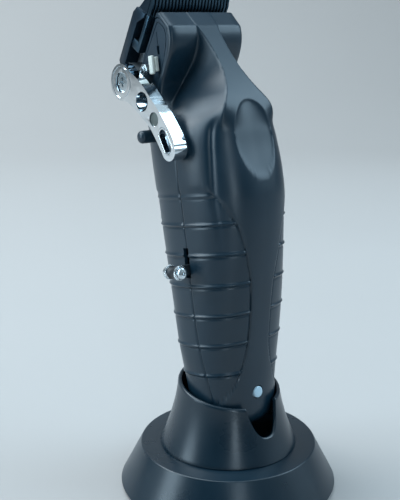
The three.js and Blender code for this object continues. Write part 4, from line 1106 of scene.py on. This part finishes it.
@dataclass
class BladeSet:
    """The fixed blade and the cutter, each a ground plate with a row of teeth."""

    shop: Workshop
    width: float = 42.0
    cutter_width: float = 41.0
    pitch: float = 1.72
    tooth: float = 0.97
    count: int = 24
    face: float = 12.4
    inside: float = 8.2
    edge: float = 4.7
    tip: float = 27.0
    root: float = 15.5
    cutter_face: float = 4.4
    cutter_tip: float = 24.8
    heel: float = -11.0
    bend: float = 12.5
    screw_x: float = 10.0
    screw_s: float = -6.5
    bore: float = 1.6
    sink: float = 3.2

    def _teeth(self, name: str, outline: list[tuple[float, float]], material: bpy.types.Material) -> bpy.types.Object:
        """Repeats one tooth across the blade.

        Args:
            name: The object's name.
            outline: The tooth's side as [y, z] pairs.
            material: The teeth's material.

        Returns:
            The whole row.
        """
        start = -self.pitch * (self.count - 1) / 2
        tooth = prism(name, outline, start - self.tooth / 2, start + self.tooth / 2, self.shop.blade)
        rounded(tooth, 0.12, 1)
        return self.shop.repeater.run(tooth, Repeat.LINE, self.count, material, (self.pitch, 0.0, 0.0))

    def build(self) -> None:
        """Makes both blades and their screws."""
        shop, place = self.shop, self.shop.blade
        lean = (self.face - self.edge - 0.6) / (self.tip - self.bend)
        at_root = self.face - lean * (self.root - self.bend)
        plate = prism("fixed_blade_plate", [
            (self.inside, self.heel), (self.face - 1, self.heel), (self.face, self.heel + 1), (self.face, self.bend),
            (at_root, self.root), (self.edge, self.root), (self.edge, self.root - 1.5), (self.inside, self.root - 5.5),
        ], -self.width / 2, self.width / 2, place)
        holes = []
        for x in (-self.screw_x, self.screw_x):
            holes.append(rod("hole", (x, 5, self.screw_s), (x, 15, self.screw_s), self.bore, place))
            holes.append(rod("sink", (x, self.face - 1.8, self.screw_s), (x, 15, self.screw_s), self.sink, place))
        carved(plate, Cut.AWAY, *holes)
        rounded(plate, 0.25)
        teeth = self._teeth("teeth", [
            (self.edge, self.root - 0.4), (at_root - 0.2, self.root - 0.4), (self.edge + 0.7, self.tip - 0.4),
            (self.edge + 0.35, self.tip), (self.edge, self.tip - 0.3)], shop.wardrobe.get(BLACK_STEEL))
        piece = joined(plate, teeth)
        shop.hand_over(piece, BLACK_STEEL, "blade_adjuster", "blade_steel", "fixed_blade", angle=28)
        self._cutter()
        self._screws()

    def _cutter(self) -> None:
        """Makes the moving cutter: a stepped plate with finer, shorter teeth."""
        place, inner, rail = self.shop.blade, self.cutter_face - 2, self.inside - 0.3
        plate = prism("cutter_plate", [
            (inner, -1), (rail, -1), (rail, 3), (self.cutter_face, 3), (self.cutter_face, self.root),
            (inner, self.root),
        ], -self.cutter_width / 2, self.cutter_width / 2, place)
        rounded(plate, 0.22)
        teeth = self._teeth("cutter_teeth", [
            (inner, self.root - 0.4), (self.cutter_face, self.root - 0.4), (self.cutter_face, self.cutter_tip),
            (self.cutter_face - 0.6, self.cutter_tip), (inner, self.cutter_tip - 5)],
            self.shop.wardrobe.get(CUTTER_STEEL))
        piece = joined(plate, teeth)
        self.shop.hand_over(piece, CUTTER_STEEL, "cutter", "blade_steel", "cutter_blade", angle=28)

    def _screws(self) -> None:
        """Makes the two crosshead screws in the fixed blade."""
        top = self.face - 0.2
        for side, x in (("left", -self.screw_x), ("right", self.screw_x)):
            frame, _ = along((x, top - 1.3, self.screw_s), (x, top, self.screw_s), self.shop.blade)
            piece = screw(f"blade_screw_{side}_crosshead", frame, 2.8, 1.3, 1.25, 7.0, Drive.CROSS)
            self.shop.hand_over(piece, NICKEL, "blade_adjuster", "screw_steel", f"blade_screw_{side}")


class Drive(Enum):
    """The recess in a screw's head."""

    CROSS = "cross"
    HEX = "hex"


def screw(name: str, head_place: Place, radius: float, thick: float, shank: float, length: float,
          drive: Drive) -> bpy.types.Object:
    """A screw with a slightly domed head.

    Args:
        name: The object's name.
        head_place: The frame at the head's underside, Z out of the head.
        radius: The head's radius.
        thick: The head's thickness.
        shank: The shank's radius.
        length: The shank's length under the head.
        drive: The recess in the head.

    Returns:
        The screw.
    """
    dome = [(radius * math.sin(a), thick - 0.25 * thick * (1 - math.cos(a)) - 0.12) for a in np.linspace(0, 1.35, 7)]
    profile = [(0, -length), (shank, -length), (shank, 0), (radius * 0.98, 0), (radius, 0.15), *dome[::-1]]
    body = lathe(name, profile, 48, head_place)
    if drive is Drive.CROSS:
        arm, slit, deep = radius * 0.5, radius * 0.13, thick * 0.7
        cuts = [
            block("cut", (-arm, -slit, thick - deep), (arm, slit, thick + 1), head_place),
            block("cut", (-slit, -arm, thick - deep), (slit, arm, thick + 1), head_place),
        ]
    else:
        turn = np.arange(6) * math.pi / 3
        ring = np.stack([radius * 0.48 * np.cos(turn), radius * 0.48 * np.sin(turn)], 1)
        points = [(x, y, z) for z in (thick * 0.35, thick + 1) for x, y in ring]
        cuts = [mesh_object("hex", np.array(points), ring_faces(2, 6), head_place)]
    carved(body, Cut.AWAY, *cuts)
    return rounded(body, 0.06, 1, 40)


@dataclass
class TaperLever:
    """The chrome lever that moves the fixed blade: a disc on the pivot and a curved arm with a hole, a dimple and a
    rimmed slot."""

    shop: Workshop
    inner: float = 25.2
    outer: float = 29.4
    arm_inner: float = 23.5
    disc: float = 7.5
    path: Sequence[Point] = ((23.2, 143.4, 6.7), (17, 140, 6.0), (12.7, 136.6, 5.6), (8.6, 132.3, 5.1),
                             (3.5, 126.9, 4.6), (-0.8, 120.4, 4.7), (-3.0, 116.4, 4.7), (-3.7, 114.1, 4.3))
    hole: Point = (10.3, 134.3, 3.95)
    dimple: Point = (3.6, 126.7, 2.9)
    slot: Sequence[Point] = ((-1.0, 120.4, 2.1), (-3.5, 114.6, 2.1))
    edge: float = 0.4
    ring: float = 6.5
    seat: float = 4.15
    bead: float = 0.42
    bead_sides: int = 10
    peg: float = 2.6
    peg_span: tuple[float, float] = (17.0, 31.5)

    def _outline(self, path: Sequence[Point], steps: int) -> list[tuple[float, float]]:
        """Draws a strip with round ends.

        Args:
            path: [y, z, half width] along its middle.
            steps: Points along each side.

        Returns:
            The closed outline as [y, z] pairs.
        """
        keys = range(len(path))
        at = np.linspace(0, len(path) - 1, steps)
        line = np.stack([through([(k, path[k][i]) for k in keys], at) for i in range(3)], 1)
        ahead = np.gradient(line[:, :2], axis=0)
        ahead /= np.linalg.norm(ahead, axis=1, keepdims=True)
        side = np.stack([-ahead[:, 1], ahead[:, 0]], 1)
        left = line[:, :2] + side * line[:, 2:]
        right = line[:, :2] - side * line[:, 2:]
        cap = np.linspace(0, math.pi, 26)[1:-1, None]
        start = line[0, :2] - line[0, 2] * (side[0] * np.cos(cap) + ahead[0] * np.sin(cap))
        end = line[-1, :2] + line[-1, 2] * (side[-1] * np.cos(cap) + ahead[-1] * np.sin(cap))
        return [tuple(p) for p in np.concatenate([left, end, right[::-1], start])]

    def _across(self, name: str, spot: Point, low: float, high: float, sides: int = 72) -> bpy.types.Object:
        """A round bar across the lever at [y, z, radius], between two distances out from the middle."""
        return rod(name, (-high, spot[0], spot[1]), (-low, spot[0], spot[1]), spot[2], self.shop.handle, sides)

    def _bead(self, name: str, outline: list[tuple[float, float]], thick: float) -> bpy.types.Object:
        """Lays a closed round bead on the outer face.

        Args:
            name: The object's name.
            outline: [y, z] pairs that the bead follows.
            thick: The bead's radius.

        Returns:
            The bead.
        """
        line = np.array(outline)
        ahead = np.roll(line, -1, 0) - np.roll(line, 1, 0)
        ahead /= np.linalg.norm(ahead, axis=1, keepdims=True)
        side = np.stack([-ahead[:, 1], ahead[:, 0]], 1)
        count = self.bead_sides
        turn = np.linspace(0, 2 * math.pi, count, endpoint=False)
        rings = [np.column_stack([np.full(count, -self.outer) - thick * 0.5 * np.sin(turn) + thick * 0.35,
                                  p[0] + s[0] * thick * np.cos(turn), p[1] + s[1] * thick * np.cos(turn)])
                 for p, s in zip(line, side)]
        return mesh_object(name, np.concatenate(rings), ring_faces(len(line), count, True), self.shop.handle)

    def build(self) -> None:
        """Makes the lever, its screw and the stop peg."""
        shop, (y, z) = self.shop, PIVOT
        plate = prism("lever_arm", self._outline(self.path[2:], 44), -self.outer, -self.arm_inner, shop.handle)
        far = self.outer + 2
        carved(plate, Cut.JOINED,
               prism("neck", self._outline(self.path[:4], 24), -self.outer, -self.inner, shop.handle),
               self._across("disc", (y, z, self.disc), self.inner, self.outer, 96))
        slot = prism("slot", self._outline(self.slot, 8), -far, -20, shop.handle)
        groove = self._across("groove", (y, z, self.ring), self.outer - 0.25, far, 96)
        carved(groove, Cut.AWAY, self._across("keep", (y, z, self.ring - 0.4), self.outer - 1, far + 1, 96))
        carved(plate, Cut.AWAY, slot, self._across("bore", (y, z, 1.6), 20, far, 32),
               self._across("seat", (y, z, self.seat), self.outer - 1.6, far), groove,
               self._across("hole", self.hole, 20, far), self._across("dimple", self.dimple, self.outer - 1.1, far))
        plate.name = "taper_lever_casting"
        rounded(plate, self.edge, 3, 50)
        rim = [(*p[:2], p[2] + 0.55) for p in self.slot]
        joined(plate, self._bead("slot_rim", self._outline(rim, 10), self.bead))
        shop.hand_over(plate, CHROME, "lever", "lever_chrome", "taper_lever", angle=32)
        button = self._across("lever_insert", (*self.dimple[:2], self.dimple[2] - 0.1), self.outer - 1.2,
                              self.outer - 0.5)
        shop.hand_over(rounded(button, 0.12, 2, 50), SINTERED, "lever", "lever_chrome")
        frame, _ = along((-self.outer + 1.9, y, z), (-self.outer + 0.4, y, z), shop.handle)
        head = screw("lever_screw_crosshead", frame, 3.85, 1.5, 1.25, 13.0, Drive.CROSS)
        shop.hand_over(head, NICKEL, "clipper", "screw_steel", "lever_screw")
        self._peg()

    def _peg(self) -> None:
        """Makes the black stop peg with its round end."""
        near, far = self.peg_span
        frame, length = along((-near, *PEG), (-far, *PEG), self.shop.handle)
        tip = [(self.peg * math.cos(a), length - 1.6 + 1.6 * math.sin(a)) for a in np.linspace(0, math.pi / 2, 9)]
        peg = lathe("stop_peg", [(0, 0), (self.peg, 0), *tip], 48, frame)
        self.shop.hand_over(peg, ABS_BODY, "clipper", "housing_plastic", "lever_stop")


@dataclass
class PowerSlide:
    """The dumbbell knob of the power slide: a black barrel between two knurled chrome collars with hex screws."""

    shop: Workshop
    knob: Point = (-29.2, 1.0, 65.1)
    barrel: float = 2.6
    waist: float = 0.25
    half: float = 2.0
    collar: float = 3.0
    collar_bore: float = 1.25
    collar_span: tuple[float, float] = (2.3, 4.1)
    knurls: int = 26
    knurl: float = 0.16
    cap: float = 2.25
    cap_span: tuple[float, float] = (4.35, 5.8)
    stem: tuple[float, float, float] = (-20.0, 1.1, 2.2)
    shoe: tuple[float, float, float, float] = (-19.95, -18.9, 3.6, 5.0)

    def build(self) -> None:
        """Makes the barrel with its stem, the collars and the end screws."""
        shop, handle = self.shop, self.shop.handle
        x, y, z = self.knob
        frame, length = along((x, y - self.half, z), (x, y + self.half, z), handle)
        full, thin = self.barrel, self.barrel - self.waist
        barrel = lathe("slide_barrel", [(0, 0), (full, 0), (full, 0.5), (thin, 1.0), (thin, length - 1),
                                        (full, length - 0.5), (full, length), (0, length)], 48, frame)
        foot, wide, tall = self.stem
        stem = block("stem", (x + 1.5, y - wide, z - tall), (foot, y + wide, z + tall), handle)
        under, over, wide, tall = self.shoe
        shoe = block("shoe", (under, y - wide, z - tall), (over, y + wide, z + tall), handle)
        piece = joined(barrel, rounded(stem, 0.4, 3), rounded(shoe, 0.25))
        shop.hand_over(piece, ABS_DARK, "power_slide", "slider_plastic", "switch_slider")
        for end, side in (("front", -1), ("rear", 1)):
            self._collar(end, side)
            near, far = (y + side * span for span in self.cap_span)
            frame, _ = along((x, near, z), (x, far, z), handle)
            cap = screw(f"slide_end_screw_{end}", frame, self.cap, 1.4, 0.95, 3.2, Drive.HEX)
            shop.hand_over(cap, CHROME, "power_slide", "knob_chrome", f"switch_screw_{end}")

    def _collar(self, end: str, side: int) -> None:
        """Makes one collar: a ring with a row of fine teeth round it.

        Args:
            end: The end's name.
            side: -1 at the front, 1 at the rear.
        """
        x, y, z = self.knob
        near, far = (y + side * span for span in self.collar_span)
        frame, length = along((x, near, z), (x, far, z), self.shop.handle)
        bore, full = self.collar_bore, self.collar
        ring = lathe(f"slide_collar_{end}", [
            (bore, 0), (full - 0.5, 0), (full - 0.25, 0.25), (full - 0.25, length - 0.25), (full - 0.5, length),
            (bore, length)], 64, frame)
        tooth = block("knurl", (full - 0.4, -self.knurl, 0.3), (full, self.knurl, length - 0.3), ROW)
        rounded(tooth, 0.09, 1)
        teeth = self.shop.repeater.run(tooth, Repeat.RING, self.knurls, self.shop.wardrobe.get(CHROME))
        piece = joined(ring, frame.carry(teeth))
        self.shop.hand_over(piece, CHROME, "power_slide", "knob_chrome", f"switch_collar_{end}")


@dataclass
class Stand:
    """The round charging stand: a sloping base with a ledge, and a flared cup with a slanted rim and a front notch."""

    shop: Workshop
    base: float = 47.8
    base_top: float = 19.8
    ledge: float = 38.7
    wall: float = 2.2
    spigot: float = 25.5
    plate: float = 44.2
    rim: float = 22.2
    root: float = 30.4
    rim_height: float = 47.0
    cup_wall: float = 1.5
    floor: float = 23.6
    notch: float = 16.0
    notch_low: float = 30.2
    lean: float = 9.4
    columns: int = 288
    underside: float = 1.2
    plug: float = 4.0
    lip: float = 0.55
    socket_mouth: Box = ((-4.8, 31.0, 4.9), (4.8, 50.0, 9.3))
    dock_hole: Box = ((-6.8, 3.7, -19.0), (6.8, 12.3, -9.6))
    foot_ring: Knots = ((0, 0.2), (30, 0.2), (30.3, 0), (40.4, 0), (41, 0.5), (41, 1.6), (0, 1.6))

    def _cup_radius(self, z: np.ndarray) -> np.ndarray:
        """Finds the cup's outer radius.

        Args:
            z: Heights.

        Returns:
            The radius at each height.
        """
        share = np.maximum(0, (self.rim_height - z) / (self.rim_height - self.base_top))
        rise = np.maximum(0, z - self.rim_height) * 0.12
        return self.rim - rise + (self.root - self.rim) * (0.35 * share + 0.65 * share**1.9)

    def _rim_top(self, angle: np.ndarray) -> np.ndarray:
        """Finds the height of the rim, down into the notch at the front.

        Args:
            angle: Angles round the cup.

        Returns:
            The rim's height at each angle.
        """
        r = self.rim - self.cup_wall / 2
        x, y = r * np.cos(angle), r * np.sin(angle)
        top = self.rim_height + y * math.tan(math.radians(self.lean))
        half = self.notch / 2
        mouth = self.rim_height - self.rim * math.tan(math.radians(self.lean))
        share = np.clip(np.abs(x) / half, 0, 1.3)
        dip = self.notch_low + (mouth - self.notch_low) * share**2.6
        return np.where((y < 0) & (dip < top), dip, top)

    def _angles(self) -> np.ndarray:
        """Spaces the cup's columns, closer together at the notch.

        Returns:
            Their angles, in rising order.
        """
        even, front = np.linspace(0, 2 * math.pi, self.columns, endpoint=False), 1.5 * math.pi
        near = np.linspace(-0.56, 0.56, 90) + front
        return np.sort(np.concatenate([even[np.abs(even - front) > 0.565], near]))

    def build(self) -> None:
        """Makes the base, the cup and the foot."""
        self._base()
        self._cup()
        self._foot()

    def _base(self) -> None:
        """Makes the sloping base moulding, hollow underneath, with a socket mouth at the back."""
        low, under = self.underside, self.base_top - self.wall
        foot = [(self.base - 0.9 + 0.9 * math.sin(a), low + 1.3 - 1.3 * math.cos(a)) for a in np.linspace(0, 1.35, 8)]
        edge = [(self.ledge + 0.75 * math.cos(a) - 0.75 + 0.2, self.base_top - 0.75 + 0.75 * math.sin(a))
                for a in np.linspace(0.45, math.pi / 2, 8)]
        outer, inner = self.plate + 0.3, self.spigot + 0.3
        profile = [(outer, low), *foot, *edge, (inner + 0.2, self.base_top), (inner, self.base_top - 0.2),
                   (inner, under), (self.ledge - self.wall, under), (outer, 4.9)]
        base = lathe("base_moulding", profile, 256)
        carved(base, Cut.AWAY, block("mouth", *self.socket_mouth, ROW))
        self.shop.hand_over(base, ABS_STAND, "stand", "stand_plastic", "stand_base_shell", angle=30)

    def _cup(self) -> None:
        """Makes the cup: its plug into the base, its wall in rings that follow the rim, then its floor."""
        angle = self._angles()
        top, same = self._rim_top(angle), np.ones_like(angle)
        low, lip = self.base_top + 0.02, self.lip
        rings = [(self.spigot * same, (self.base_top - self.plug) * same), (self.spigot * same, low * same)]
        for share in np.concatenate([[0, 0.012, 0.03], np.linspace(0.07, 1, 26)]):
            z = low + (top - lip - low) * share
            rings.append((self._cup_radius(z) - 0.5 * (1 - min(share / 0.03, 1)) ** 2, z))
        outer, inner = self._cup_radius(top), self._cup_radius(top) - self.cup_wall
        centre, half = (outer + inner) / 2, self.cup_wall / 2
        for a in np.linspace(0.25, math.pi - 0.25, 7):
            rings.append((centre + half * math.cos(a), top - lip + lip * math.sin(a)))
        for share in np.linspace(1, 0, 16):
            z = self.floor + (top - lip - self.floor) * share
            rings.append((self._cup_radius(z) - self.cup_wall, z))
        rings.append((4.0 * same, self.floor * same))
        points = np.concatenate([np.stack([r * np.cos(angle), r * np.sin(angle), z], 1) for r, z in rings])
        cup = mesh_object("cup_moulding", points, ring_faces(len(rings), len(angle)))
        carved(cup, Cut.AWAY, block("dock_hole", *self.dock_hole, self.shop.handle))
        self.shop.hand_over(cup, ABS_STAND, "stand", "stand_plastic", "stand_cup", angle=34)

    def _foot(self) -> None:
        """Makes the rubber foot ring."""
        foot = lathe("foot_ring", self.foot_ring, 192)
        self.shop.hand_over(foot, RUBBER, "stand", "foot_rubber", "stand_foot_pad")


@dataclass
class Trim:
    """Small outside pieces: the indicator lens and the screws of the housing."""

    shop: Workshop
    form: BodyForm
    lens: float = 2.45
    lens_span: tuple[float, float] = (-6.4, -9.6)
    dome: float = 0.5
    head: float = 2.15
    sunk: tuple[float, float] = (3.4, 1.8)

    def build(self) -> None:
        """Makes the lens and the four housing screws."""
        shop, handle = self.shop, self.shop.handle
        inner, outer = self.lens_span
        frame, length = along((0, inner, LENS_HEIGHT), (0, outer, LENS_HEIGHT), handle)
        dome = [(self.lens * math.sin(a), length - self.dome + self.dome * math.cos(a))
                for a in np.linspace(math.pi / 2, 0, 8)]
        lens = lathe("indicator_lens", [(0, 0), (self.lens, 0), *dome], 64, frame)
        shop.hand_over(lens, LENS, "clipper", "lens_plastic", "led_lens")
        for name, x, z in self.form.screws:
            skin = self.form.behind(x, z)
            under, top = (skin - sunk for sunk in self.sunk)
            frame, _ = along((x, under, z), (x, top, z), handle)
            piece = screw(f"housing_screw_{name}_crosshead", frame, self.head, 1.5, 1.15, skin - 1, Drive.CROSS)
            shop.hand_over(piece, NICKEL, "clipper", "screw_steel", f"housing_screw_{name}")


@dataclass
class Studio:
    """The pale floor, the soft light and the camera. Its sizes are metres."""

    eye: Point = (-0.2352, -0.26585, 0.2016)
    heading: tuple[float, float] = (0.636, 0.772)
    pitch: float = 14.99
    lens: float = 62.65
    # each lamp's name, place, the point it faces, its width and height, its power in watts and its colour
    lamps: Sequence[tuple[str, Point, Point, tuple[float, float], float, str]] = (
        ("key", (0.75, -0.55, 0.85), AIM, (0.7, 0.9), 10, "#bddef3"),
        ("left", (-0.95, 0.35, 0.5), AIM, (0.35, 0.9), 7, "#cbe4f4"),
        ("top", (0.0, 0.2, 1.3), AIM, (0.9, 0.9), 9, "#cfe6f5"),
        ("window", (-0.52, -0.98, 0.36), AIM, (0.1, 0.8), 2.5, "#cfe6f5"),
        ("paper_light", (-0.5, 1.1, 1.9), (1.2, 1.5, 0.8), (1.6, 0.8), 42, "#dfeef7"),
        ("side_paper", (-1.3, 1.3, 1.3), (-1.0, 1.1, 0.0), (0.8, 0.8), 22, "#e6f1f7"),
    )
    # the room's dim and bright side: colour, and its place on the way from dim to bright
    room_tones: Sequence[tuple[str, float]] = (("#223a48", 0.18), ("#cbe2ef", 0.72))
    room_bright: Point = (0.72, 0.62, 0.3)
    room_strength: float = 0.95
    near: float = -7.0
    half_width: float = 6.0
    bend_start: float = 0.95
    bend: float = 0.9
    height: float = 3.2

    def camera(self) -> None:
        """Sets the camera, level, a little above the handle's middle."""
        data = bpy.data.cameras.new("camera")
        data.lens = self.lens
        data.sensor_width = 36
        data.clip_start = 0.01
        camera = new_object("camera", data)
        down = math.radians(self.pitch)
        flat = Vector((*self.heading, 0)).normalized() * math.cos(down)
        camera.location = self.eye
        camera.rotation_euler = (flat + Vector((0, 0, -math.sin(down)))).to_track_quat("-Z", "Y").to_euler()
        bpy.context.scene.camera = camera

    def softbox(self, name: str, place: Point, aim: Point, size: tuple[float, float], power: float, tone: str) -> None:
        """Hangs one soft rectangular lamp.

        Args:
            name: The lamp's name.
            place: Where it hangs, in metres.
            aim: The point it faces.
            size: Its width and height in metres.
            power: Its power in watts.
            tone: Its colour.
        """
        data = bpy.data.lights.new(name, "AREA")
        data.shape = "RECTANGLE"
        data.size, data.size_y = size
        data.energy = power
        data.color = linear(tone)[:3]
        lamp = new_object(name, data)
        lamp.location = place
        lamp.rotation_euler = (Vector(aim) - Vector(place)).to_track_quat("-Z", "Y").to_euler()

    def room(self) -> None:
        """The room's light: bright and cool behind the object, dim towards the camera."""
        world = bpy.data.worlds.new("studio")
        bpy.context.scene.world = world
        world.use_nodes = True
        tree = world.node_tree
        tree.nodes.clear()
        where = add_node(tree, "ShaderNodeTexCoord").outputs["Generated"]
        facing = add_node(tree, "ShaderNodeVectorMath", {0: where, 1: self.room_bright},
                          operation="DOT_PRODUCT").outputs["Value"]
        share = add_node(tree, "ShaderNodeMapRange", {"Value": facing, "From Min": -1.0, "From Max": 1.0})
        ramp = add_node(tree, "ShaderNodeValToRGB", {"Fac": share.outputs["Result"]})
        for stop, (tone, spot) in zip(ramp.color_ramp.elements, self.room_tones):
            stop.color, stop.position = linear(tone), spot
        light = add_node(tree, "ShaderNodeBackground",
                         {"Color": ramp.outputs["Color"], "Strength": self.room_strength})
        add_node(tree, "ShaderNodeOutputWorld", {"Surface": light.outputs["Background"]})

    def sweep(self) -> bpy.types.Object:
        """Makes the floor, which curves up behind the object, square to the camera's heading.

        Returns:
            The paper.
        """
        bend = [(self.bend_start + self.bend * math.sin(a), self.bend - self.bend * math.cos(a))
                for a in np.linspace(0, math.pi / 2, 48)]
        profile = [(self.near, 0.0), *bend, (self.bend_start + self.bend, self.height)]
        ahead, across = np.array([*self.heading, 0]), np.array([self.heading[1], -self.heading[0], 0])
        edges = (-self.half_width, self.half_width)
        points = [(ahead * d + across * w + np.array([0, 0, h])) / MM for w in edges for d, h in profile]
        count = len(profile)
        faces = [[i, i + 1, count + i + 1, count + i] for i in range(count - 1)]
        paper = mesh_object("paper_sweep", np.array(points) - np.array([0, 0, 0.02]), faces)
        if paper.data.polygons[0].normal.z < 0:
            paper.data.flip_normals()
        return smooth(paper, 60)

    def build(self, wardrobe: Wardrobe) -> None:
        """Puts up the camera, the lamps, the room and the floor.

        Args:
            wardrobe: Where the floor's material comes from.
        """
        self.camera()
        self.room()
        for lamp in self.lamps:
            self.softbox(*lamp)
        paper = self.sweep()
        wardrobe.dress(paper, PAPER)


def frames(joints: list[dict]) -> tuple[Place, Place]:
    """Finds the handle's and the blade's frames.

    Args:
        joints: The record's joints.

    Returns:
        The handle's frame and the blade's frame.
    """
    named = {j["name"]: j for j in joints}
    up = np.array(named["lift_off"]["axis"], float)
    handle_axes = np.array([[1, 0, 0], [0, up[2], up[1]], [0, -up[1], up[2]]])
    pivot = np.array(named["taper_lever"]["pos_m"], float) / MM
    handle = Place(pivot - handle_axes @ np.array([0, *PIVOT]), handle_axes)
    tip = -np.array(named["blade_travel"]["axis"], float)
    blade_axes = np.array([[1, 0, 0], [0, tip[2], tip[1]], [0, -tip[1], tip[2]]])
    return handle, Place(handle.out([(0, 19, 154)])[0], blade_axes)


def dress_frame(shop: Workshop, frame: dict) -> None:
    """Gives every node of the frame the finish of its slot.

    Args:
        shop: The workshop.
        frame: What the frame's load gave.
    """
    slots = {part["node"]: part["material_slot"] for part in frame["record"]["subparts"]}
    for name, node in frame["nodes"].items():
        shop.wardrobe.dress(node, SLOT_FINISH[slots[name]])


def main() -> None:
    """Builds the whole scene."""
    logging.basicConfig(level=logging.INFO, format="%(name)s: %(message)s")
    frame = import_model()
    handle, blade = frames(frame["joints"])
    shop = Workshop(handle, blade)
    Studio().build(shop.wardrobe)
    dress_frame(shop, frame)
    housing = Housing(shop)
    Stand(shop).build()
    housing.build()
    Head(shop, housing).build()
    BladeSet(shop).build()
    TaperLever(shop).build()
    PowerSlide(shop).build()
    Trim(shop, housing.form).build()
    bpy.context.scene.view_settings.view_transform = "Standard"
    bpy.context.view_layer.update()


if __name__ == "__main__":
    main()
